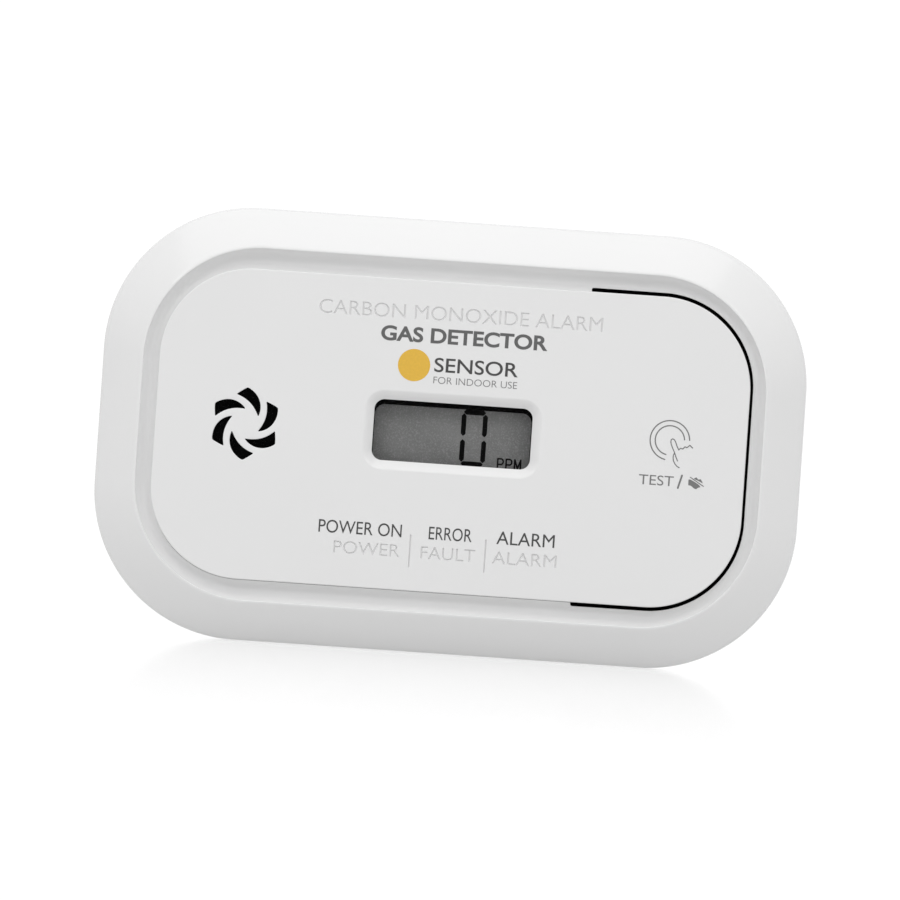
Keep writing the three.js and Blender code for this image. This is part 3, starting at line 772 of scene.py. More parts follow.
def make_finishes(look):
    """All materials by name. The colours that a user would change come from the look."""
    white = tuple(look.case_colour)
    return {
        "case": moulded_plastic("case white gloss", white, look.case_roughness, 900, 0.000008),
        "rear": moulded_plastic("case white satin", white, look.case_roughness + 0.16, 2600, 0.00003),
        "inner": moulded_plastic("case white inside", tuple(c * 0.94 for c in white), 0.5, 1800, 0.00003),
        "black": moulded_plastic("black plastic", (0.006, 0.006, 0.0065), 0.55, 1500, 0.00003, 0.3),
        # black matt film: the display holder's finish, and the painted shade of the sheet behind the test
        # button's slot
        "matt": moulded_plastic("black matt film", (0.002, 0.002, 0.002), 0.8, 1500, 0.00003, 0.3, 0.05),
        "ink_soft": printed_ink("grey ink", tuple(look.title_colour)),
        "ink_dark": printed_ink("dark ink", tuple(look.caption_colour)),
        "ink_icon": printed_ink("icon ink", tuple(look.icon_colour)),
        "ink_amber": printed_ink("amber ink", tuple(look.mark_colour)),
        "segments": printed_ink("display segments", (0.002, 0.002, 0.002), 0.03),
        "lcd": display_grey("display cell", tuple(look.display_colour)),
        "window": clear_window("display window"),
        "steel": brushed_metal("plated steel", (0.72, 0.72, 0.71), 0.3),
        "spring": brushed_metal("spring wire", (0.62, 0.61, 0.58), 0.26, (4, 1, 4)),
        "brass": brushed_metal("brass", (0.62, 0.42, 0.14), 0.34),
        "board": solder_mask("circuit board", (0.012, 0.085, 0.035)),
        "gauze": woven_cloth("insect gauze", (0.004, 0.004, 0.004)),
        "rubber": moulded_plastic("grey rubber", (0.32, 0.32, 0.32), 0.8, 1200, 0.00006, 0.1),
        "sleeve": cell_sleeve("cell sleeve", (0.018, 0.02, 0.03), (0.62, 0.36, 0.1)),
        "label": label_paper("label paper", (0.68, 0.68, 0.66)),
        "red": wire_jacket("red wire", (0.42, 0.03, 0.02)),
        "lamp_green": tinted_lens("green lamp", (0.5, 0.62, 0.46)),
        "lamp_amber": tinted_lens("amber lamp", (0.76, 0.45, 0.12)),
        "lamp_red": tinted_lens("red lamp", (0.66, 0.14, 0.1)),
    }


FINISHES = {}

CAD_FINISHES = {
    "board": ("main_board",),
    "steel": ("board_screw_1", "board_screw_2", "gas_sensor_cap"),
    "black": (
        "microcontroller",
        "horn_transformer",
        "lamp_light_guide",
        "test_switch_body",
        "sounder_chamber",
        "battery_lead_negative",
    ),
    "sleeve": ("capacitor", "gas_sensor_body"),
    "rubber": (
        "display_connector_strip",
        "test_switch_plunger",
        "sounder_support_ring",
        "gas_sensor_filter",
    ),
    "brass": ("sounder_spring_1", "sounder_spring_2", "piezo_disc"),
    "lamp_green": ("lamp_power",),
    "lamp_amber": ("lamp_fault",),
    "lamp_red": ("lamp_alarm",),
    "red": ("battery_lead_positive",),
}


def dress_frame_nodes():
    """Gives every CAD node that stays in view its own finish."""
    for finish, names in CAD_FINISHES.items():
        for name in names:
            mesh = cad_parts[name].data
            mesh.materials.clear()
            mesh.materials.append(FINISHES[finish])


# ------------------------------------------------------------------ front
def blended(a, b, share, y, path=FRONT_PATH):
    """Row of points part of the way from one rounded rectangle to another, at depth y."""
    first, second = ring_points(a, path), ring_points(b, path)
    share = np.broadcast_to(np.asarray(share, float), len(first))[:, None]
    flat = first * (1 - share) + second * share
    depth = np.broadcast_to(np.asarray(y, float), len(first))
    return np.column_stack((flat[:, 0], depth, flat[:, 1]))


def shrunk(ring, by):
    """The same rounded rectangle drawn in all round, about the same corner centres."""
    return Ring(ring.width - 2 * by, ring.height - 2 * by, ring.corner - by)


def groove_depth(t):
    """Level of the groove at a share t of the way from crest to rim, for each point of the path.

    A straight line from crest to rim, less two half parabolas that meet at the deepest line.
    The drop is in proportion to the groove's width, so its slopes are alike all round.
    """
    t = np.asarray(t, float)
    span = ring_points(CREST, FRONT_PATH) - ring_points(RIM, FRONT_PATH)
    drop = GROOVE_DROP * np.linalg.norm(span, axis=1) / GROOVE_WIDE
    reach = np.where(t < GROOVE_T, GROOVE_T - GROOVE_START, UNDER_T - GROOVE_T)
    line = GROOVE_EDGES[0] + (GROOVE_EDGES[1] - GROOVE_EDGES[0]) * t
    return line + drop * (1 - ((t - GROOVE_T) / reach) ** 2)


def build_bezel(front):
    """Front bezel: one closed section carried round the outline.

    The section climbs the side wall, turns over a Bezier band to the crest, drops into the
    groove, and stops at the panel's rim, or short of it where the slot frees the test panel.
    It then goes back along the inside of the cover.
    """
    rim = ring_points(RIM, FRONT_PATH)
    gap = front.slot_gap * 1000
    beyond = np.clip((rim[:, 0] - HINGE_X) / SLOT_END, 0, 1)
    across = gap * (0.84 + 0.3 * np.abs(FRONT_PATH[1][:, 1]))
    span = np.linalg.norm(ring_points(CREST, FRONT_PATH) - rim, axis=1)
    opened = np.sqrt(1 - (1 - beyond) ** 2) * across / span
    under = UNDER_T - front.parting_line * 1000 / GROOVE_WIDE * np.clip(-1.6 * FRONT_PATH[1][:, 1], 0, 1)
    edge = np.where(rim[:, 0] <= HINGE_X, under, 1 - opened)
    rows = [
        blended(shrunk(OUTLINE, 0.25), CREST, 0, SEAM_FRONT_Y),
        blended(shrunk(OUTLINE, 0.07), CREST, 0, SEAM_FRONT_Y - 0.08),
        blended(OUTLINE, CREST, 0, SEAM_FRONT_Y - 0.25),
        blended(OUTLINE, CREST, 0, -9.5),
    ]
    shoulder = bezier(((0, SHOULDER_Y + 0.2), (0, SHOULDER_Y - 0.9), (0.05, SHOULDER_Y - 1.4)), 8)
    band = bezier(((0.05, SHOULDER_Y - 1.4), (0.34, -16.85), (0.64, -18.45), (0.94, -19.88)), 16)
    rows += [blended(OUTLINE, CREST, t, y) for t, y in np.concatenate((shoulder, band[1:]))]
    rows += [blended(OUTLINE, CREST, t, y) for t, y in ((0.968, -19.955), (0.99, CREST_Y))]
    rows += [blended(CREST, RIM, t, y) for t, y in ((0.0, CREST_Y), (0.014, -19.96), (0.028, -19.885))]
    split = 0.6
    rows += [blended(CREST, RIM, t, groove_depth(t)) for t in np.linspace(GROOVE_START, split, 16)]
    for share in np.linspace(0.12, 1, 8):
        t = split + (edge - split) * share
        rows.append(blended(CREST, RIM, t, groove_depth(t)))
    lip = edge + 0.014
    rows += [
        blended(CREST, RIM, lip, groove_depth(edge) + 0.05),
        blended(CREST, RIM, lip, LIP_Y),
        *(blended(ring, CREST, 0, y) for ring, y in INNER_RINGS),
        blended(shrunk(OUTLINE, WALL), CREST, 0, -12.6),
        blended(shrunk(OUTLINE, WALL), CREST, 0, SEAM_FRONT_Y),
    ]
    rows.append(rows[0])
    shell = Shell()
    shell.grid(rows)
    shell.make("front_bezel", "housing", [FINISHES["case"]], ["front_cover"])


def vane_loop(turn):
    """One vane of the spiral grille: a bulging outer side, a hollow inner side and a short heel."""
    outer = bezier(((2.1, 1.3), (2.76, 2.7), (2.48, 4.95), (0.08, 6.1)), 40)
    heel = bezier(((0.08, 6.1), (-0.8, 5.6), (-1.76, 4.84)), 16)
    inner = bezier(((-1.76, 4.84), (0.97, 4.08), (2.1, 1.3)), 40)
    line = np.concatenate((outer[:-1], heel[:-1], inner[:-1]))
    cos, sin = math.cos(turn), math.sin(turn)
    turned = line @ np.array(((cos, sin), (-sin, cos)))
    return smooth_loop(turned + (GRILLE_X, 0), 110, 3)


def flex_spots():
    """Extra points across the line where the real panel bends."""
    xs, zs = np.meshgrid(np.arange(19.25, 24.8, 0.5), np.arange(-24, 24.1, 2.0))
    return np.column_stack((xs.ravel(), zs.ravel()))


def build_panel(front):
    """Front panel: a flat plate with a rounded rim, a dished display opening and a spiral grille.

    Its right-hand part is the test button. The plate is one piece, with extra points along an upright line
    between the ends of the slot, where the real moulded strip bends.
    """
    shell = Shell()
    rim = Loop(ring_points(RIM, FRONT_PATH), FRONT_PATH[1])
    edge = quarter_round(front.panel_round * 1000, PANEL_Y, 1, -1, 6)
    shell.wall(rim, [(0, PANEL_BACK)] + edge)
    dish = rounded_rectangle(WINDOW, *WINDOW_AT, path_units(EVEN, EVEN, 14))
    deep = front.dish_depth * 1000
    wide = front.dish_width * 1000
    slope = [(0, PANEL_BACK), (0, PANEL_Y + deep)]
    slope += [(wide * s, PANEL_Y + deep * (1 - s) ** 1.35) for s in (0.12, 0.3, 0.5, 0.7, 0.86, 0.95)]
    slope.append((wide * 1.03, PANEL_Y))
    shell.wall(dish, slope)
    vanes = [vane_loop(k * math.pi / 3) for k in range(6)]
    for vane in vanes:
        shell.wall(vane, [(0, PANEL_BACK)] + quarter_round(0.1, PANEL_Y, 1, 1, 3))
    face = [rim.out(edge[-1][0]), dish.out(slope[-1][0])] + [v.out(0.1) for v in vanes]
    back = [rim.points, dish.points] + [v.points for v in vanes]
    engraved = engraved_loops(front)
    sunk, draft = front.engraved_depth * 1000, front.engraved_slope * 1000
    for loop in engraved:
        shell.wall(loop, [(0, PANEL_Y), (-draft, PANEL_Y + sunk)])
    shell.cap(PANEL_Y + sunk, [loop.out(-draft) for loop in engraved])
    shell.cap(PANEL_Y, face + [loop.points for loop in engraved], flex_spots())
    shell.cap(PANEL_BACK, back, flex_spots())
    panel = shell.make("front_panel", None, [FINISHES["case"]], ["test_button"])
    bend(panel)
    post = Shell()
    tip = cad("test_button")[1][1]
    root = PANEL_BACK
    profile = [(0, root - 0.2), (2.6, root - 0.2), (2.4, root + 0.15), (2.05, root + 0.5)]
    profile += [(2, tip - 0.4), (1.85, tip - 0.1), (1.6, tip), (0, tip)]
    post.turned(profile, POST_X, 0)
    post.make("test_button_post", "test_button", [FINISHES["inner"]])
    # Black matt sheet behind the test button, seen only through the slot: painted shade that makes the
    # slot read black all the way down.
    film = Shell()
    ring = Ring(102.6, 56.6, 17.2)
    points = ring_points(ring, PLAIN_PATH)
    points[:, 0] = np.maximum(points[:, 0], FLEX[0] - 1)
    outline = smooth_loop(points, 160, 0)
    hole = circle(3.4, POST_X, 0)
    faces = (-15.8, -15.4)
    for loop in (outline, hole):
        film.wall(loop, [(0, y) for y in faces])
    for y in faces:
        film.cap(y, [outline.points, hole.points])
    film.make("painted_slot_shade", "housing", [FINISHES["matt"]])


def bend(piece):
    """Bakes a piece's placement into its mesh."""
    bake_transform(piece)


def build_lettering(front):
    """Words and signs printed on the panel."""
    ink = front.print_height * 1000
    face = PANEL_Y - ink

    title = Shell()
    lettering(title, front.title, 27.9, 2.56, 1.2, 16.8, face, ink + SINK, 0.028)
    title.make("printed_title", "housing", [FINISHES["ink_soft"]])

    captions = Shell()
    for text, width, x in CAPTIONS:
        lettering(captions, text, width, CAPTIONS_CAP, x, CAPTIONS_Z, face, ink + SINK, 0.0)
    captions.make("printed_captions", "housing", [FINISHES["ink_dark"]])

    mark = Shell()
    mark.prism(circle(2.7, -6.9, 11.7, 64), face, PANEL_Y + SINK)
    mark.make("printed_disc", "housing", [FINISHES["ink_amber"]])
    name = Shell()
    lettering(name, front.mark_word, 14.0, 2.4, 3.5, 12.0, face, ink + SINK, 0.008)
    name.make("printed_mark_word", "housing", [FINISHES["ink_dark"]])
    line = Shell()
    lettering(line, front.mark_line, 14.0, 1.15, 3.5, 9.45, face, ink + SINK, -0.01)
    line.make("printed_mark_line", "housing", [FINISHES["ink_icon"]])


def arc(radius, start, end, x, z, count=50):
    """Points of a circle's arc, in degrees."""
    angle = np.radians(np.linspace(start, end, count))
    return np.column_stack((x + radius * np.cos(angle), z + radius * np.sin(angle)))


def build_test_sign(front):
    """Sign on the test button: a finger pressing in two open rings, TEST, and a muted horn."""
    ink = front.print_height * 1000
    face, behind = PANEL_Y - ink, PANEL_Y + SINK
    sign = Shell()
    at = np.array((POST_X, 2.1))
    for radius, start, end in ((3.3, 4, 259), (2.45, 6, 258)):
        sign.prism(stroke(arc(radius, start, end, *at), 0.2, 60), face, behind)
    finger = ((1.58, -1.5), (1.23, -0.84), (1.01, -0.27), (0.75, 0.16), (0.44, 0.3), (0.2, 0.1))
    finger += ((0.18, -0.27), (0.3, -0.73), (0.56, -1.3), (0.89, -1.92), (1.18, -2.67), (1.5, -3.35))
    thumb = ((0.92, -2.04), (0.77, -2.4), (0.73, -2.88), (0.81, -3.34), (1.09, -3.86), (1.46, -4.24))
    thumb += ((1.86, -4.45),)
    knuckles = ((1.58, -1.5), (1.87, -1.2), (2.26, -1.3), (2.59, -0.9), (2.92, -1.04), (3.39, -0.59))
    knuckles += ((3.86, -1.02),)
    for k, line in enumerate((finger, thumb, knuckles)):
        lift = 0.001 * (k + 1)
        sign.prism(stroke(np.array(line) + at, 0.17, 60), face - lift, behind)
    lettering(sign, "TEST", 5.82, 1.68, 34.78, -4.7, face, ink + SINK, -0.002)
    sign.prism(stroke(((38.46, -5.75), (39.03, -3.62)), 0.3, 8), face, behind)
    horn = ((40.14, -4.2), (40.5, -4.2), (41.29, -4.6), (41.9, -4.95), (42.25, -5.35), (41.83, -5.48))
    horn += ((41.49, -5.77), (41.1, -5.6), (40.56, -5.17), (40.17, -5.2))
    sign.prism(smooth_loop(np.array(horn), 60, 1), face, behind)
    sign.prism(stroke(((40.45, -3.83), (42.72, -5.2)), 0.16, 12), face, behind)
    rays = ((41.02, -4.02), (41.44, -3.74), (41.78, -4.12), (42.2, -4.02), (42.6, -4.72))
    sign.prism(smooth_loop(np.array(rays + ((41.8, -4.34),)), 50, 1), face, behind)
    sign.make("printed_test_sign", "test_button", [FINISHES["ink_icon"]])


# ------------------------------------------------------------------ display
def segment(shell, x, z, length, width, upright, y):
    """One bar of a seven-segment number: a long hexagon with pointed ends."""
    half, side = length / 2, width / 2
    inner = half - side
    lower = ((-half, 0), (-inner, -side), (inner, -side))
    upper = ((half, 0), (inner, side), (-inner, side))
    shape = np.array(lower + upper)
    if upright:
        shape = shape[:, ::-1] * (1, -1)
    shell.prism(rounded_polygon(shape + (x, z), [0.06] * 6, 3), y, y + 0.03)


def unit_strokes(shell, x, z, tall, y):
    """The unit PPM in even pen strokes, from its lower left corner."""
    turn = np.linspace(math.pi / 2, -math.pi / 2, 12)
    bowl = np.column_stack((0.4 + 0.27 * np.cos(turn), 0.74 + 0.26 * np.sin(turn)))
    bowl = np.concatenate((((0, 1.0),), bowl, ((0, 0.48),)))
    letter_p = (((0, 0), (0, 1)), bowl)
    letter_m = (((0, 0), (0, 1)), ((0, 1), (0.36, 0.2)), ((0.36, 0.2), (0.72, 1)), ((0.72, 1), (0.72, 0)))
    order = 0
    for offset, letter in ((0, letter_p), (0.86, letter_p), (1.72, letter_m)):
        for line in letter:
            order += 1
            placed = (np.array(line) * (0.78, 1) + (offset * 0.93, 0)) * tall + (x, z)
            shell.prism(stroke(placed, 0.27, 24), y - 0.0005 * order, y + 0.03)


def build_display():
    """Display: clear window, black holder with its opening set low, the cell, its number and unit."""
    low, high = cad("display_window")
    x, z = WINDOW_AT
    fine = path_units(EVEN, EVEN, 10)
    window = Shell()
    ring = Ring(high[0] - low[0], high[2] - low[2], 1.5)
    window.prism(rounded_rectangle(ring, x, z, fine), low[1], high[1], 0.1, 0.1)
    window.make("display_window_lens", "housing", [FINISHES["window"]], ["display_window"])

    low, high = cad("display_holder")
    holder = Shell()
    outer = rounded_rectangle(Ring(high[0] - low[0], high[2] - low[2], 1.2), x, z, fine)
    opening = rounded_rectangle(Ring(26.25, 10.3, 1.65), x, z - 0.85, fine)
    edge = quarter_round(0.25, low[1], 1, -1)
    brim = quarter_round(0.12, low[1], 1, 1)
    holder.wall(outer, [(0, high[1])] + edge)
    holder.wall(opening, [(0, LCD_Y - 0.15)] + brim)
    holder.cap(low[1], [outer.out(-0.25), opening.out(0.12)])
    recess = rounded_rectangle(Ring(31.6, 15.2, 0.6), x, z, fine)
    holder.wall(recess, [(0, LCD_Y - 0.15), (0, high[1])])
    holder.cap(LCD_Y - 0.15, [recess.points, opening.points])
    holder.cap(high[1], [outer.points, recess.points])
    holder.make("display_bezel", "housing", [FINISHES["matt"]], ["display_holder"])

    low, high = cad("display_glass")
    cell = Shell()
    back = rounded_rectangle(Ring(high[0] - low[0], high[2] - low[2], 0.4), x, z, fine)
    cell.prism(back, low[1], high[1], 0.12, 0.12)
    cell.make("display_cell", "housing", [FINISHES["lcd"]], ["display_glass"])

    number = Shell()
    y = LCD_Y - 0.03
    for column in DIGIT_X:
        for level in DIGIT_Z:
            segment(number, column, level, 3.82, 0.8, True, y)
    for level, width in ((4.5, 0.87), (-4.12, 0.76)):
        segment(number, DIGIT_MIDDLE, level, 3.76, width, False, y)
    unit_strokes(number, 8.17, -4.72, 1.78, y)
    number.make("display_number", "housing", [FINISHES["segments"]])


# ------------------------------------------------------------------ grille parts
def build_screen():
    """Insect screen behind the grille: a disc of gauze whose face rises and falls with the weave."""
    low, high = cad("insect_screen")
    radius = (high[0] - low[0]) / 2
    rings = np.concatenate((np.linspace(0, radius - 0.1, 60), (radius,)))
    angle = round_angles(160)
    r, a = np.meshgrid(rings, angle, indexing="ij")
    x, z = r * np.cos(a), r * np.sin(a)
    pitch = 0.5
    weave = np.sin(2 * math.pi * x / pitch) * np.sin(2 * math.pi * z / pitch)
    middle = (low[1] + high[1]) / 2
    face = middle - 0.1 - 0.07 * weave
    rows = np.stack((x + GRILLE_X, face, z), axis=-1)
    shell = Shell()
    shell.grid(rows)
    rear = rows[[-1, 0]].copy()
    rear[:, :, 1] = high[1]
    shell.grid(np.concatenate((rows[-1:], rear)))
    gauze = [FINISHES["gauze"]]
    shell.make("insect_gauze", "housing", gauze, ["insect_screen"], soften=False)


# ------------------------------------------------------------------ rear cover
def bay_loop(notch, tabs):
    """Mouth of the battery bay: a rounded rectangle, with a finger notch in its lower side and
    two pockets in its upper side, each pushed out by its own depth."""
    left, right, half = BAY["left"], BAY["right"], BAY["half"]
    low, high = -half, half
    a, b = DOOR_X - 7, DOOR_X + 7
    pockets = [(DOOR_X + side * TAB_X + 4.4, DOOR_X + side * TAB_X - 4.4) for side in (1, -1)]
    corners = [(left, low), (a, low), (a, low - notch), (b, low - notch), (b, low)]
    corners += [(right, low), (right, high)]
    radii = [0.8] + [min(0.7, notch * 0.45)] * 4 + [0.8, 0.8]
    for start, end in pockets:
        corners += [(start, high), (start, high + tabs), (end, high + tabs), (end, high)]
        radii += [min(0.5, tabs * 0.45)] * 4
    corners.append((left, high))
    radii.append(0.8)
    return rounded_polygon(corners, radii)


def keyhole_loop(x):
    """Round entry with a narrower slot rising from it, with softened inner corners."""
    z, head, slot = KEYHOLES["z"], KEYHOLES["head"], KEYHOLES["slot"]
    meet = math.degrees(math.acos(slot / head))
    entry = arc(head, 180 - meet, 360 + meet, x, z, 80)
    top = arc(slot, 0, 180, x, z + KEYHOLES["rise"], 40)
    return smooth_loop(np.concatenate((entry, top)), 140, 4)


def keyhole_pocket(x):
    """Room for the screw head behind a keyhole, as wide as its entry all the way up."""
    reach = KEYHOLES["head"]
    ring = Ring(2 * reach, 2 * reach + KEYHOLES["rise"], reach - 0.01)
    middle = KEYHOLES["z"] + KEYHOLES["rise"] / 2
    return rounded_rectangle(ring, x, middle, path_units(np.zeros(0), EVEN, 14))


NOTCH = 2.05  # depth of the finger notch in the bay's mouth
POCKET = 2.4  # depth of the pockets for the door's tabs
FLUSH = 0.02  # either one, where it is all but closed


def build_rear_cover(rear):
    """Rear cover: the outline carried along a section with a rounded back edge and a lip at the
    seam, closed by a back plate with the bay's mouth, vents, keyholes and screw wells."""
    shell = Shell()
    turn = np.linspace(0, math.pi / 2, 9)
    wide, deep = rear.edge_width * 1000, rear.edge_depth * 1000
    section = [(wide * (1 - math.cos(a)), BACK_Y - deep + deep * math.sin(a)) for a in turn[::-1]]
    seam = SEAM_REAR_Y
    section += [(0, 9.0), (0, 2.0), (0, seam + 0.25), (0.07, seam + 0.08), (0.25, seam)]
    section += [(2.3, seam), (2.35, seam - 2.2), (2.45, seam - 2.3), (3.3, seam - 2.3)]
    section += [(3.3, seam + 2.2), (WALL, seam + 2.2), (WALL, BACK_Y - 4.0)]
    section += [(WALL + 2 * (1 - math.cos(a)), BACK_Y - 4 + 2 * math.sin(a)) for a in turn[2::2]]
    outline = Loop(ring_points(OUTLINE, PLAIN_PATH), PLAIN_PATH[1])
    shell.wall(outline, [(-offset, y) for offset, y in section])

    openings = [(bay_loop(NOTCH, FLUSH), 0.35)]
    slot_ring = Ring(rear.vent_width * 1000, rear.vent_height * 1000, rear.vent_height * 500 - 0.001)
    slot_path = path_units(EVEN, np.zeros(0), 8)
    for k in range(VENTS["count"]):
        z = (k - (VENTS["count"] - 1) / 2) * VENTS["pitch"]
        openings.append((rounded_rectangle(slot_ring, VENTS["x"], z, slot_path), 0.2))
    for side in (-1, 1):
        openings.append((keyhole_loop(side * KEYHOLES["x"]), 0.25))
    openings += [(circle(3.3, x, z), 0.15) for x, z in WELLS]
    for loop, edge in openings:
        shell.wall(loop, [(0, PLATE_IN_Y)] + quarter_round(edge, BACK_Y, -1, 1))
    shell.cap(BACK_Y, [outline.out(-section[0][0])] + [loop.out(edge) for loop, edge in openings])
    shell.cap(PLATE_IN_Y, [outline.out(-section[-1][0])] + [loop.points for loop, _ in openings])
    shell.make("rear_shell", "housing", [FINISHES["rear"]], ["rear_cover"])

    pockets = Shell()
    for side in (-1, 1):
        loop = keyhole_pocket(side * KEYHOLES["x"])
        floor, rim_y = KEYHOLES["floor"], PLATE_IN_Y + 0.1
        inner = [(-0.5, floor), (-0.15, floor + 0.15), (0, floor + 0.5), (0, rim_y)]
        pockets.wall(loop, inner + [(1.2, rim_y), (1.2, floor - 1)])
        pockets.cap(floor, [loop.out(-0.5)])
        pockets.cap(floor - 1, [loop.out(1.2)])
    pockets.make("keyhole_cups", "housing", [FINISHES["inner"]])

    bosses = Shell()
    rim_y = PLATE_IN_Y + 0.05
    profile = [(3.32, rim_y), (3.3, 2.3), (3.0, 2.0), (1.75, 2.0), (1.75, seam)]
    profile += [(4.4, seam), (4.5, rim_y), (3.32, rim_y)]
    for x, z in WELLS:
        bosses.turned(profile, x, z)
    bosses.make("screw_wells", "housing", [FINISHES["inner"]])


def cradle(shell, x_from, x_to, centres):
    """Saddle under the cells: its top follows the cells' round sides, cut off at a level, and
    is carried straight along the bay."""
    zs = np.linspace(-BAY["half"] + 0.3, BAY["half"] - 0.3, 181)
    nearest = np.min([np.abs(zs - c) for c in centres], axis=0)
    clear = 7.42
    sag = CELL_Y - np.sqrt(np.maximum(clear**2 - nearest**2, 0))
    top = np.clip(sag, BAY["floor"] + 0.1, 6.2)
    xs = np.array((x_from, x_from + 0.15, x_to - 0.15, x_to))
    ease = np.array((0.12, 0, 0, 0.12))
    shell.heights(xs, zs, np.maximum(top[:, None] - ease, BAY["floor"] + 0.02), BAY["floor"] - 0.2)


def build_battery_bay():
    """Battery bay: a tub whose mouth has the notch and the tab pockets, with cell saddles."""
    shell = Shell()
    floor = BAY["floor"]
    stages = (
        (PLATE_IN_Y + 0.1, NOTCH, FLUSH),
        (PLATE_IN_Y - 0.02, NOTCH, FLUSH),
        (PLATE_IN_Y - 0.03, NOTCH, POCKET),
        (15.4, NOTCH, POCKET),
        (15.38, NOTCH, FLUSH),
        (14.5, NOTCH, FLUSH),
        (14.48, FLUSH, FLUSH),
        (floor + 0.8, FLUSH, FLUSH),
    )
    rows = []
    for y, notch, tabs in stages:
        line = bay_loop(notch, tabs).out(0.02)
        rows.append(np.column_stack((line[:, 0], np.full(len(line), y), line[:, 1])))
    base = bay_loop(FLUSH, FLUSH)
    for angle in np.linspace(0.2, math.pi / 2, 5):
        line = base.out(0.02 - 0.75 * (1 - math.cos(angle)))
        y = floor + 0.8 * (1 - math.sin(angle))
        rows.append(np.column_stack((line[:, 0], np.full(len(line), y), line[:, 1])))
    shell.grid(rows)
    shell.cap(floor, [rows[-1][:, ::2]])
    outer = rounded_rectangle(Ring(61.0, 52.1, 1.0), DOOR_X, 0.15)
    rim = rows[0][:, ::2]
    shell.wall(outer, [(0, rows[0][0, 1]), (0, floor - 1.5)])
    shell.cap(rows[0][0, 1], [outer.points, rim])
    shell.cap(floor - 1.5, [outer.points])
    shell.make("battery_bay", "housing", [FINISHES["inner"]])
    centres = [(cad(n)[0][2] + cad(n)[1][2]) / 2 for n in CELL_NODES]
    saddles = Shell()
    cradle(saddles, -6.0, 3.0, centres)
    cradle(saddles, 19.0, 28.0, centres)
    saddles.make("cell_saddles", "housing", [FINISHES["inner"]])


# ------------------------------------------------------------------ battery door
def build_door(rear):
    """Battery door: plate with a rounded edge, notch for the catch, sunk label, ribs and tabs."""
    low, high = DOOR_LOW, DOOR_HIGH
    inner_y = DOOR_IN_Y
    bottom, top = low[2], 22.05
    a, b = DOOR_X - 6.3, DOOR_X + 6.3
    notch_top = -14.5
    corners = [(low[0], bottom), (a, bottom), (a, notch_top), (b, notch_top), (b, bottom)]
    corners += [(high[0], bottom), (high[0], top), (low[0], top)]
    outline = rounded_polygon(corners, [1.0, 0.5, 0.7, 0.7, 0.5, 1.0, 1.0, 1.0], 6)
    shell = Shell()
    edge = quarter_round(0.3, BACK_Y, -1, -1)
    shell.wall(outline, [(-0.1, inner_y), (0, inner_y + 0.1)] + edge)
    label_path = path_units(EVEN, EVEN, 6)
    well = rounded_rectangle(Ring(44, 24, 1.0), DOOR_X, LABEL_Z, label_path)
    sunk = BACK_Y - 0.55
    shell.wall(well, [(-0.1, sunk), (0, sunk + 0.1)] + quarter_round(0.12, BACK_Y, -1, 1, 3))
    shell.cap(sunk, [well.out(-0.1)])
    shell.cap(BACK_Y, [outline.out(-0.3), well.out(0.12)])
    shell.cap(inner_y, [outline.out(-0.1)])
    for side in (-1, 1):
        x = DOOR_X + side * TAB_X
        shell.block((x - 4, x + 4), (16.2, inner_y + 0.2), (top - 1.5, top), 0.3, 0.15)
        shell.block((x - 4, x + 4), (16.2, 17.6), (top - 0.6, top + 1.2), 0.3, 0.2)
        rib = DOOR_X + side * 14
        shell.block((rib - 0.7, rib + 0.7), (17.2, inner_y + 0.2), (-18, 18), 0.4, 0.2)
    shell.block((DOOR_X - 7.5, DOOR_X + 7.5), (17, inner_y + 0.2), (-19, -13), 0.4, 0.15)
    arrow = rounded_polygon(((DOOR_X - 2.2, -10.6), (DOOR_X, -13.4), (DOOR_X + 2.2, -10.6)), [0.3] * 3)
    shell.prism(arrow, BACK_Y - 0.2, BACK_Y - 0.001, 0, 0)
    shell.make("battery_door_panel", "battery_door", [FINISHES["rear"]], ["battery_door"])

    label = Shell()
    sheet = rounded_rectangle(Ring(43.4, 23.4, 0.8), DOOR_X, LABEL_Z, label_path)
    label.prism(sheet, 19.5, 19.78, 0, 0.03)
    label.make("door_label_sheet", "battery_door", [FINISHES["label"]], ["door_label"])
    print_y, print_back = 19.8, 19.77
    text = Shell()
    lettering(text, rear.battery_line, 26.0, 2.6, DOOR_X, 12.2, print_y, 0.03, 0.008, 1)
    frame_line = [(0, print_back), (0, print_y), (-0.22, print_y), (-0.22, print_back)]
    for z, flip in ((7.0, 1), (1.6, -1), (-3.8, 1)):
        body = rounded_rectangle(Ring(26, 4.0, 0.6), DOOR_X, z, path_units(EVEN, EVEN, 4))
        text.wall(body, frame_line + frame_line[:1])
        nub = rounded_rectangle(Ring(0.9, 1.6, 0.2), DOOR_X + flip * 13.45, z)
        text.prism(nub, print_back, print_y)
        plus, minus = DOOR_X + flip * 10, DOOR_X - flip * 10
        for x in (plus, minus):
            text.prism(stroke(((x - 0.8, z), (x + 0.8, z)), 0.32, 6), print_back, print_y)
            if x == plus:
                upright = ((x, z - 0.8), (x, z + 0.8))
                text.prism(stroke(upright, 0.32, 6), print_back, print_y - 0.002)
    text.make("door_label_print", "battery_door", [FINISHES["ink_dark"]])


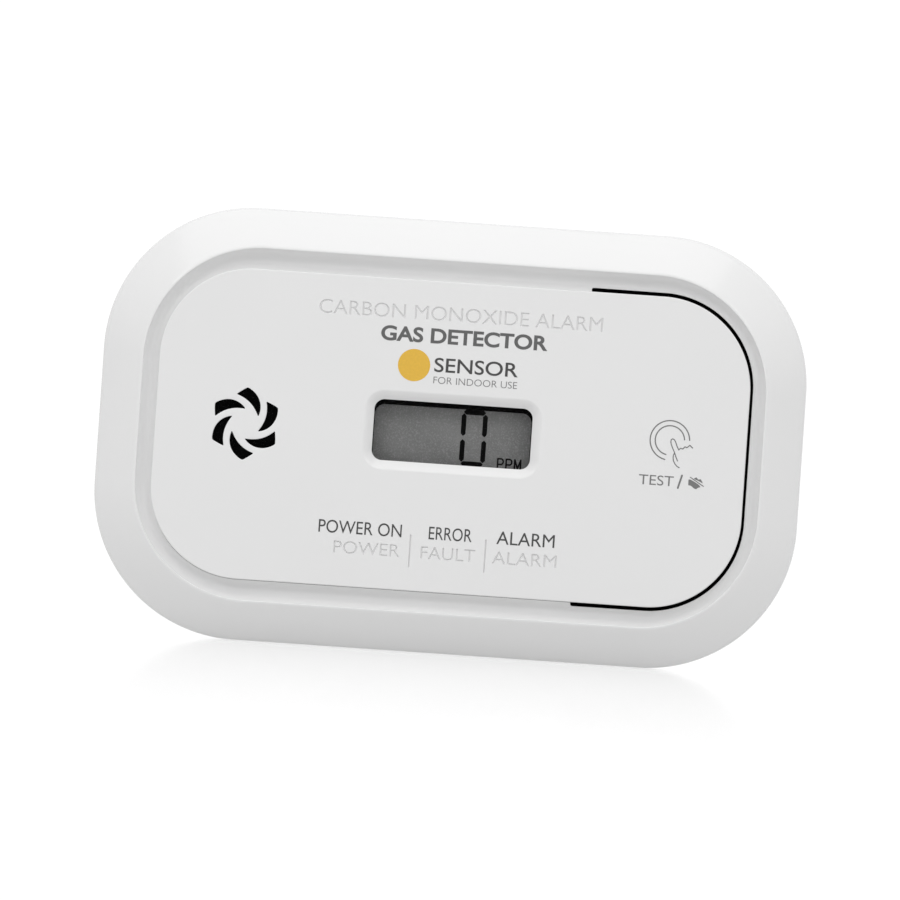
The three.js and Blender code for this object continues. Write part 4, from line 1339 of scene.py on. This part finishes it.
def build_catch():
    """Door catch: a finger pad with rounded ridges across it, and a hook that holds the door."""
    shell = Shell()
    low, high = LATCH_LOW, LATCH_HIGH
    pad_bottom = DOOR_LOW[2]
    eased = DOOR_X - 6 + 0.35 * (1 - np.cos(np.linspace(0, math.pi / 2, 6)))
    xs = np.concatenate((eased, np.linspace(-5, 5, 11) + DOOR_X))
    xs = np.unique(np.round(np.concatenate((xs, 2 * DOOR_X - xs)), 5))
    zs = np.linspace(pad_bottom, high[2], 121)
    gx, gz = np.meshgrid(xs, zs)
    ridge = 0.5 - 0.5 * np.cos(2 * math.pi * (gz - pad_bottom - 0.55) / 1.2)
    band = np.clip((gz - pad_bottom - 0.5) / 0.3, 0, 1) * np.clip((high[2] - 0.5 - gz) / 0.3, 0, 1)
    across = np.clip((5.2 - np.abs(gx - DOOR_X)) / 0.4, 0, 1)
    near_x = 6 - np.abs(gx - DOOR_X)
    near_z = np.minimum(gz - pad_bottom, high[2] - gz)
    rim = 0.35 - np.sqrt(np.maximum(0.35**2 - np.maximum(0.35 - np.minimum(near_x, near_z), 0) ** 2, 0))
    top = BACK_Y - np.maximum(rim, 0.45 * ridge * band * across)
    shell.heights(xs, zs, top, 18.45)
    shell.block((DOOR_X - 5, DOOR_X + 5), (15.9, 18.6), (pad_bottom, -20.6), 0.3, 0.15)
    shell.block((DOOR_X - 5, DOOR_X + 5), (15.9, 17.5), (low[2], -21.5), 0.3, 0.3)
    shell.make("door_catch", "door_latch", [FINISHES["rear"]], ["battery_door_latch"])


# ------------------------------------------------------------------ screws, cells, contacts
def build_case_screws():
    """Pan-head screws: a polar grid whose head is a shallow dome with a cross sunk in it.

    The cross is the larger of two slots at right angles, each a smooth step in its width and
    in its length.
    """
    steps = 96
    angle = round_angles(steps)
    seat, head, crown = 2.3, 2.9, 2.3
    turned_down = crown + (head - crown) * np.sin(np.linspace(0.1, math.pi / 2, 6))
    radii = np.concatenate((np.linspace(0, crown, 24), turned_down))
    r, a = np.meshgrid(radii, angle, indexing="ij")
    shank = ((head, seat + 0.2), (head - 0.15, seat), (1.4, seat), (1.4, -11.4), (0.8, -12.6), (0, -13))
    for k in range(1, 5):
        node = f"case_screw_{k}"
        low, high = cad(node)
        x, z = (low[0] + high[0]) / 2, (low[2] + high[2]) / 2
        u, v = r * np.cos(a + 0.3 * k), r * np.sin(a + 0.3 * k)
        slots = [
            np.clip((0.38 - np.abs(p)) / 0.12 + 0.5, 0, 1) * np.clip((1.45 - np.abs(q)) / 0.3 + 0.5, 0, 1)
            for p, q in ((u, v), (v, u))
        ]
        cross = np.maximum(*slots)
        dome = high[1] - 0.22 * (r / head) ** 2 - np.maximum(r - crown, 0) ** 2 * 2.2
        face = dome - 1.1 * cross
        rows = [np.stack((x + r * np.cos(a), face, z + r * np.sin(a)), axis=-1)]
        for radius, y in shank:
            ring_x, ring_z = x + radius * np.cos(angle), z + radius * np.sin(angle)
            rows.append(np.stack((ring_x, np.full(steps, y), ring_z), axis=-1)[None])
        shell = Shell()
        shell.grid(np.concatenate(rows))
        shell.make(f"pan_head_screw_{k}", "housing", [FINISHES["steel"]], [node])


def along_bay(profile, start, direction, z, steps=64):
    """Rows of a profile of (radius, distance) turned about a cell's own axis."""
    angle = round_angles(steps)
    profile = np.array(profile, float)
    xs = np.repeat(start + direction * profile[:, 1:], steps, axis=1)
    ys = CELL_Y + profile[:, :1] * np.cos(angle)
    zs = z + profile[:, :1] * np.sin(angle)
    return np.stack((xs, ys, zs), axis=-1)


def build_cells():
    """AA cells: sleeve rolled over both ends, a flat base with a ring, an insulator and the nub."""
    can = CELL_CAN
    base = [(0, 0.12), (4.6, 0.12), (4.8, 0.02), (5.6, 0.02), (5.8, 0.12), (6.25, 0.12)]
    sleeve = [(6.25, 0.12), (6.3, 0.02), (6.75, 0), (7.02, 0.1), (7.15, 0.4), (7.15, 12), (7.15, 25)]
    sleeve += [(7.15, 38), (7.15, can - 0.6), (7.02, can - 0.25), (6.8, can - 0.08), (6.2, can)]
    sleeve += [(5.6, can - 0.05), (5.55, can - 0.35)]
    top = [(5.55, can - 0.35), (3.4, can - 0.35), (3.1, can - 0.2), (2.75, can + 0.1)]
    top += [(2.7, can + 0.9), (2.55, can + 1.2), (2.2, can + 1.3), (0, can + 1.3)]
    finishes = [FINISHES["sleeve"], FINISHES["steel"]]
    for k, node in enumerate(CELL_NODES):
        low, high = cad(node)
        z = (low[2] + high[2]) / 2
        direction = -1 if k == 1 else 1
        start = high[0] if k == 1 else low[0]
        shell = Shell()
        for profile, slot in ((base, 1), (sleeve, 0), (top, 1)):
            shell.grid(along_bay(profile, start, direction, z), slot)
        shell.make(f"aa_cell_{k + 1}", "housing", finishes, [node])


def conical_spring(shell, plate_x, direction, z):
    """Wire wound on a cone from the plate to the cell: radius falls evenly with the turns."""
    turns, count = 4.25, 240
    t = np.linspace(0, 1, count)
    angle = t * turns * 2 * math.pi
    radius = 4.1 - 1.5 * t
    rise = np.where(t < 0.12, 0.3, 0.3 + (t - 0.12) / 0.88 * 4.25)
    radial = np.column_stack((np.zeros(count), np.cos(angle), np.sin(angle)))
    line = radial * radius[:, None] + np.column_stack(
        (plate_x + direction * rise, np.full(count, CELL_Y), np.full(count, z))
    )
    shell.tube(line, radial, 0.34, 8)


def build_contacts():
    """Sheet contacts: thin plates with rounded corners, a raised dimple for a cell's tip and a
    conical spring for a cell's base."""
    pitch = CELL_PITCH
    path = path_units(np.zeros(0), EVEN, 6)
    plans = (
        ("contact_positive", 1, None, pitch),
        ("contact_negative", -1, -pitch, None),
        ("contact_bridge_left", -1, pitch, 0.0),
        ("contact_bridge_right", 1, 0.0, -pitch),
    )
    for node, side, spring_z, dimple_z in plans:
        low, high = cad(node)
        outer = BAY["right"] - 0.3 if side > 0 else BAY["left"] + 0.3
        inner = outer - side * 0.5
        zs = (max(low[2], -20.7), min(high[2], 20.7))
        plate = Shell()
        loop = rounded_rectangle(Ring(12.8, zs[1] - zs[0], 1.2), 9.4, sum(zs) / 2, path)
        plate.prism(loop, min(inner, outer), max(inner, outer), 0.1, 0.1)
        if dimple_z is not None:
            rise = ((2.6, 0.1), (2.2, 0), (1.8, -0.12), (1.2, -0.26), (0.6, -0.3), (0, -0.3))
            plate.turned([(radius, inner + side * up) for radius, up in rise], CELL_Y, dimple_z)
            plate.turned([(2.6, inner + side * 0.1), (0, inner + side * 0.1)], CELL_Y, dimple_z)
        plate.swap([1, 0, 2])
        if spring_z is not None:
            conical_spring(plate, inner, -side, spring_z)
        if node in ("contact_positive", "contact_negative"):
            reach = sorted((inner, outer + side * 3.3))
            plate.block(reach, (5, 7), (pitch * side - 0.25, pitch * side + 0.25), 0.1, 0.1)
        plate.make(f"{node}_sheet", "housing", [FINISHES["spring"]], [node])


# ------------------------------------------------------------------ studio
def build_stage(studio):
    """Pale floor that fades out, white surround, three soft lamps and the camera."""
    floor = bpy.data.meshes.new("floor")
    steps = 96
    angle = round_angles(steps)
    radii = np.array((0.0, 0.15, 0.3, 0.6, 0.9))
    r, a = np.meshgrid(radii, angle, indexing="ij")
    points = np.stack((r * np.cos(a), r * np.sin(a), np.full_like(r, -0.0002)), axis=-1).reshape(-1, 3)
    index = np.arange(len(points)).reshape(r.shape)
    after = np.roll(index, -1, axis=1)
    quads = np.stack((index[:-1], index[1:], after[1:], after[:-1]), axis=-1).reshape(-1, 4)
    floor.from_pydata(points, [], quads.tolist())
    made = Nodes("studio floor", (studio.floor_shade,) * 3, 0.07)
    made.vary(made.noise(6, 2), 0.01)
    distance = made.node("ShaderNodeVectorMath", {0: made.place}, operation="LENGTH").outputs["Value"]
    fade = made.spread(distance, studio.floor_cover, 0.0, 0.02, 0.78)
    made.link(fade, made.shader.inputs["Alpha"])
    floor.materials.append(made.material)
    base = bpy.data.objects.new("studio_floor", floor)
    bpy.context.scene.collection.objects.link(base)

    world = bpy.data.worlds.new("studio surround")
    bpy.context.scene.world = world
    world.use_nodes = True
    tree = world.node_tree
    tree.nodes.clear()
    output = tree.nodes.new("ShaderNodeOutputWorld")
    background = tree.nodes.new("ShaderNodeBackground")
    place = tree.nodes.new("ShaderNodeTexCoord")
    split = tree.nodes.new("ShaderNodeSeparateXYZ")
    depth = tree.nodes.new("ShaderNodeMapRange")
    height = tree.nodes.new("ShaderNodeMapRange")
    depth.interpolation_type = "SMOOTHSTEP"
    tree.links.new(place.outputs["Generated"], split.inputs["Vector"])
    tree.links.new(split.outputs["Y"], depth.inputs["Value"])
    tree.links.new(split.outputs["Z"], height.inputs["Value"])
    lowest = studio.front_surround - studio.overhead
    highest = studio.front_surround + studio.overhead
    for socket, value in zip(("From Min", "From Max", "To Min", "To Max"), (-1.0, 1.0, lowest, highest)):
        height.inputs[socket].default_value = value
    for socket, value in zip(("From Min", "From Max"), (0.85, 0.99)):
        depth.inputs[socket].default_value = value
    tree.links.new(height.outputs["Result"], depth.inputs["To Min"])
    depth.inputs["To Max"].default_value = studio.back_surround
    background.inputs["Color"].default_value = (1, 1, 1, 1)
    tree.links.new(depth.outputs["Result"], background.inputs["Strength"])
    tree.links.new(background.outputs["Background"], output.inputs["Surface"])

    for name, spot, size, power in (
        ("overhead_softbox", (-0.1, -0.5, 1.0), (1.4, 1.4), studio.overhead_power),
        ("left_softbox", (-0.62, -0.75, 0.62), (0.2, 0.2), studio.side_power),
        ("right_softbox", (0.62, -0.75, 0.62), (0.2, 0.2), studio.side_power),
    ):
        lamp = bpy.data.lights.new(name, "AREA")
        lamp.shape = "RECTANGLE"
        lamp.size, lamp.size_y = size
        lamp.energy = power
        holder = bpy.data.objects.new(name, lamp)
        aim = Vector((0, 0, MIDDLE / 1000)) - Vector(spot)
        holder.location = spot
        holder.rotation_mode = "QUATERNION"
        holder.rotation_quaternion = aim.to_track_quat("-Z", "Y")
        bpy.context.scene.collection.objects.link(holder)

    camera = bpy.data.cameras.new("camera")
    camera.sensor_width = 36
    camera.lens = studio.lens
    camera.clip_start, camera.clip_end = 0.1, 20
    holder = bpy.data.objects.new("camera", camera)
    bpy.context.scene.collection.objects.link(holder)
    tilt = studio.tilt
    right = Vector((math.cos(tilt), 0, math.sin(tilt)))
    up = Vector((-math.sin(tilt), 0, math.cos(tilt)))
    aim = Vector((0, 0, MIDDLE / 1000)) - right * studio.aim_left - up * studio.aim_down
    place = aim + Vector((0, -studio.distance, 0))
    back = Vector((0, -1, 0))
    turn = Matrix((right, up, back)).transposed()
    holder.matrix_world = Matrix.Translation(place) @ turn.to_4x4()
    bpy.context.scene.camera = holder
    bpy.context.scene.view_settings.view_transform = "Standard"
    bpy.context.scene.view_settings.look = "None"


# ------------------------------------------------------------------ settings
def colour_property(name, description, default):
    """Setting for a colour."""
    return FloatVectorProperty(
        name=name, description=description, default=default, size=3, min=0, max=1, subtype="COLOR"
    )


def length_property(name, description, default):
    """Setting for a length in metres."""
    return FloatProperty(
        name=name, description=description, default=default, precision=5, subtype="DISTANCE", unit="LENGTH"
    )


def share_property(name, description, default):
    """Setting between 0 and 1."""
    return FloatProperty(name=name, description=description, default=default, min=0, max=1)


def plain_property(name, description, default, unit="NONE"):
    """Setting for a number, with a unit where it has one."""
    return FloatProperty(name=name, description=description, default=default, unit=unit)


def word_property(name, description, default):
    """Setting for words."""
    return StringProperty(name=name, description=description, default=default)


class AlarmFront(bpy.types.PropertyGroup):
    """Sizes and words of the front."""

    slot_gap: length_property("Slot", "Width of the slot that frees the test button", 0.00065)
    panel_round: length_property("Panel rounding", "Rounding of the panel's rim", 0.00022)
    dish_width: length_property("Dish width", "Slope round the display opening", 0.0016)
    dish_depth: length_property("Dish depth", "Depth of that slope", 0.0011)
    parting_line: length_property("Parting line", "Reach of the line that opens under the panel", 0.0002)
    engraved_depth: length_property("Engraving", "Depth of the engraved words", 0.00022)
    engraved_slope: length_property("Engraving slope", "Width of a stroke's sloped side", 0.00011)
    engraved_weight: plain_property("Engraving weight", "Added stroke width", -0.001)
    print_height: length_property("Ink", "Height of printed words", 0.00002)
    heading: word_property("Heading", "Engraved heading", "CARBON MONOXIDE ALARM")
    title: word_property("Title", "Printed title", "GAS DETECTOR")
    mark_word: word_property("Word", "Word beside the disc", "SENSOR")
    mark_line: word_property("Line", "Line under that word", "FOR INDOOR USE")


class AlarmRear(bpy.types.PropertyGroup):
    """Sizes and words of the back."""

    edge_width: length_property("Edge width", "How far the back edge's rounding reaches in", 0.0032)
    edge_depth: length_property("Edge depth", "How far that rounding reaches down the side", 0.0036)
    vent_width: length_property("Vent width", "Length of each vent slot", 0.0138)
    vent_height: length_property("Vent height", "Height of each vent slot", 0.0016)
    battery_line: word_property("Label", "Label's line", "3 x AA  1.5 V")


class AlarmLook(bpy.types.PropertyGroup):
    """Colours and polish."""

    case_colour: colour_property("Case", "White of the case", (0.72, 0.72, 0.72))
    case_roughness: share_property("Polish", "Roughness of the front", 0.17)
    title_colour: colour_property("Title", "Ink of the title", (0.118, 0.118, 0.118))
    caption_colour: colour_property("Captions", "Ink of the captions", (0.063, 0.063, 0.063))
    icon_colour: colour_property("Sign", "Ink of the test sign", (0.18, 0.18, 0.18))
    mark_colour: colour_property("Disc", "Ink of the disc", (0.72, 0.44, 0.06))
    display_colour: colour_property("Display", "Grey of the display", (0.245, 0.247, 0.245))


class AlarmStudio(bpy.types.PropertyGroup):
    """Camera and lights."""

    lens: FloatProperty(
        name="Lens", description="Focal length", default=474.2, subtype="DISTANCE_CAMERA"
    )
    distance: length_property("Distance", "Camera to the middle of the alarm", 2.0)
    tilt: FloatProperty(
        name="Tilt", description="Camera's roll", default=math.radians(3.95), subtype="ANGLE"
    )
    aim_left: length_property("Aim left", "How far left of the middle the camera aims", 0.000075)
    aim_down: length_property("Aim down", "How far below the middle the camera aims", 0.00204)
    floor_shade: share_property("Floor", "Shade of the floor", 0.85)
    floor_cover: share_property("Cover", "How solid the floor is at its middle", 0.48)
    front_surround: plain_property("Front", "Surround behind the camera", 0.82)
    back_surround: plain_property("Back", "Surround behind the alarm", 1.06)
    overhead: plain_property("Overhead", "How much the surround brightens upwards", 0.04)
    overhead_power: plain_property("Softbox", "Overhead softbox", 6.0, "POWER")
    side_power: plain_property("Side", "Each softbox at the side", 0.6, "POWER")


# ------------------------------------------------------------------ operators
class ALARM_OT_finishes(bpy.types.Operator):
    """Makes the materials and dresses the frame's own nodes."""

    bl_idname = "alarm.finishes"
    bl_label = "Finishes"

    def execute(self, context):
        FINISHES.update(make_finishes(context.scene.alarm_look))
        dress_frame_nodes()
        return {"FINISHED"}


class ALARM_OT_bezel(bpy.types.Operator):
    """Builds the front bezel with its groove."""

    bl_idname = "alarm.bezel"
    bl_label = "Bezel"

    def execute(self, context):
        build_bezel(context.scene.alarm_front)
        return {"FINISHED"}


class ALARM_OT_panel(bpy.types.Operator):
    """Builds the flat panel with the test button, the engraved words and the grille."""

    bl_idname = "alarm.panel"
    bl_label = "Panel and test button"

    def execute(self, context):
        build_panel(context.scene.alarm_front)
        build_screen()
        return {"FINISHED"}


class ALARM_OT_lettering(bpy.types.Operator):
    """Builds the printed words and signs."""

    bl_idname = "alarm.lettering"
    bl_label = "Words and signs"

    def execute(self, context):
        build_lettering(context.scene.alarm_front)
        build_test_sign(context.scene.alarm_front)
        return {"FINISHED"}


class ALARM_OT_display(bpy.types.Operator):
    """Builds the display with its number."""

    bl_idname = "alarm.display"
    bl_label = "Display"

    def execute(self, context):
        build_display()
        return {"FINISHED"}


class ALARM_OT_rear(bpy.types.Operator):
    """Builds the rear cover, its pockets and the battery bay."""

    bl_idname = "alarm.rear"
    bl_label = "Rear cover and bay"

    def execute(self, context):
        build_rear_cover(context.scene.alarm_rear)
        build_battery_bay()
        build_case_screws()
        return {"FINISHED"}


class ALARM_OT_door(bpy.types.Operator):
    """Builds the battery door, its label and its catch."""

    bl_idname = "alarm.door"
    bl_label = "Battery door"

    def execute(self, context):
        build_door(context.scene.alarm_rear)
        build_catch()
        return {"FINISHED"}


class ALARM_OT_cells(bpy.types.Operator):
    """Builds the cells and their contacts."""

    bl_idname = "alarm.cells"
    bl_label = "Cells and contacts"

    def execute(self, context):
        build_cells()
        build_contacts()
        return {"FINISHED"}


class ALARM_OT_stage(bpy.types.Operator):
    """Builds the floor, the surround, the lights and the camera."""

    bl_idname = "alarm.stage"
    bl_label = "Studio"

    def execute(self, context):
        build_stage(context.scene.alarm_studio)
        return {"FINISHED"}


STEPS = (
    ALARM_OT_finishes,
    ALARM_OT_bezel,
    ALARM_OT_panel,
    ALARM_OT_lettering,
    ALARM_OT_display,
    ALARM_OT_rear,
    ALARM_OT_door,
    ALARM_OT_cells,
    ALARM_OT_stage,
)
SETTINGS = {
    "alarm_front": AlarmFront,
    "alarm_rear": AlarmRear,
    "alarm_look": AlarmLook,
    "alarm_studio": AlarmStudio,
}


class ALARM_PT_panel(bpy.types.Panel):
    """Lists the settings and the building steps."""

    bl_idname = "ALARM_PT_panel"
    bl_label = "Carbon monoxide alarm"
    bl_space_type = "VIEW_3D"
    bl_region_type = "UI"
    bl_category = "Alarm"

    def draw(self, context):
        for key, group in SETTINGS.items():
            box = self.layout.box()
            for name in group.__annotations__:
                box.prop(getattr(context.scene, key), name)
        for step in STEPS:
            self.layout.operator(step.bl_idname)


def register():
    """Registers the settings, the steps and the sidebar panel."""
    for group in (*SETTINGS.values(), *STEPS, ALARM_PT_panel):
        bpy.utils.register_class(group)
    for key, group in SETTINGS.items():
        setattr(bpy.types.Scene, key, PointerProperty(type=group))


def unregister():
    """Takes back what register did, in the opposite order."""
    for key in SETTINGS:
        delattr(bpy.types.Scene, key)
    for group in (ALARM_PT_panel, *reversed(STEPS), *reversed(SETTINGS.values())):
        bpy.utils.unregister_class(group)


def main():
    """Registers the add-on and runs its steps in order."""
    register()
    for step in STEPS:
        area, name = step.bl_idname.split(".")
        getattr(getattr(bpy.ops, area), name)()
    bpy.context.view_layer.update()


if __name__ == "__main__":
    main()
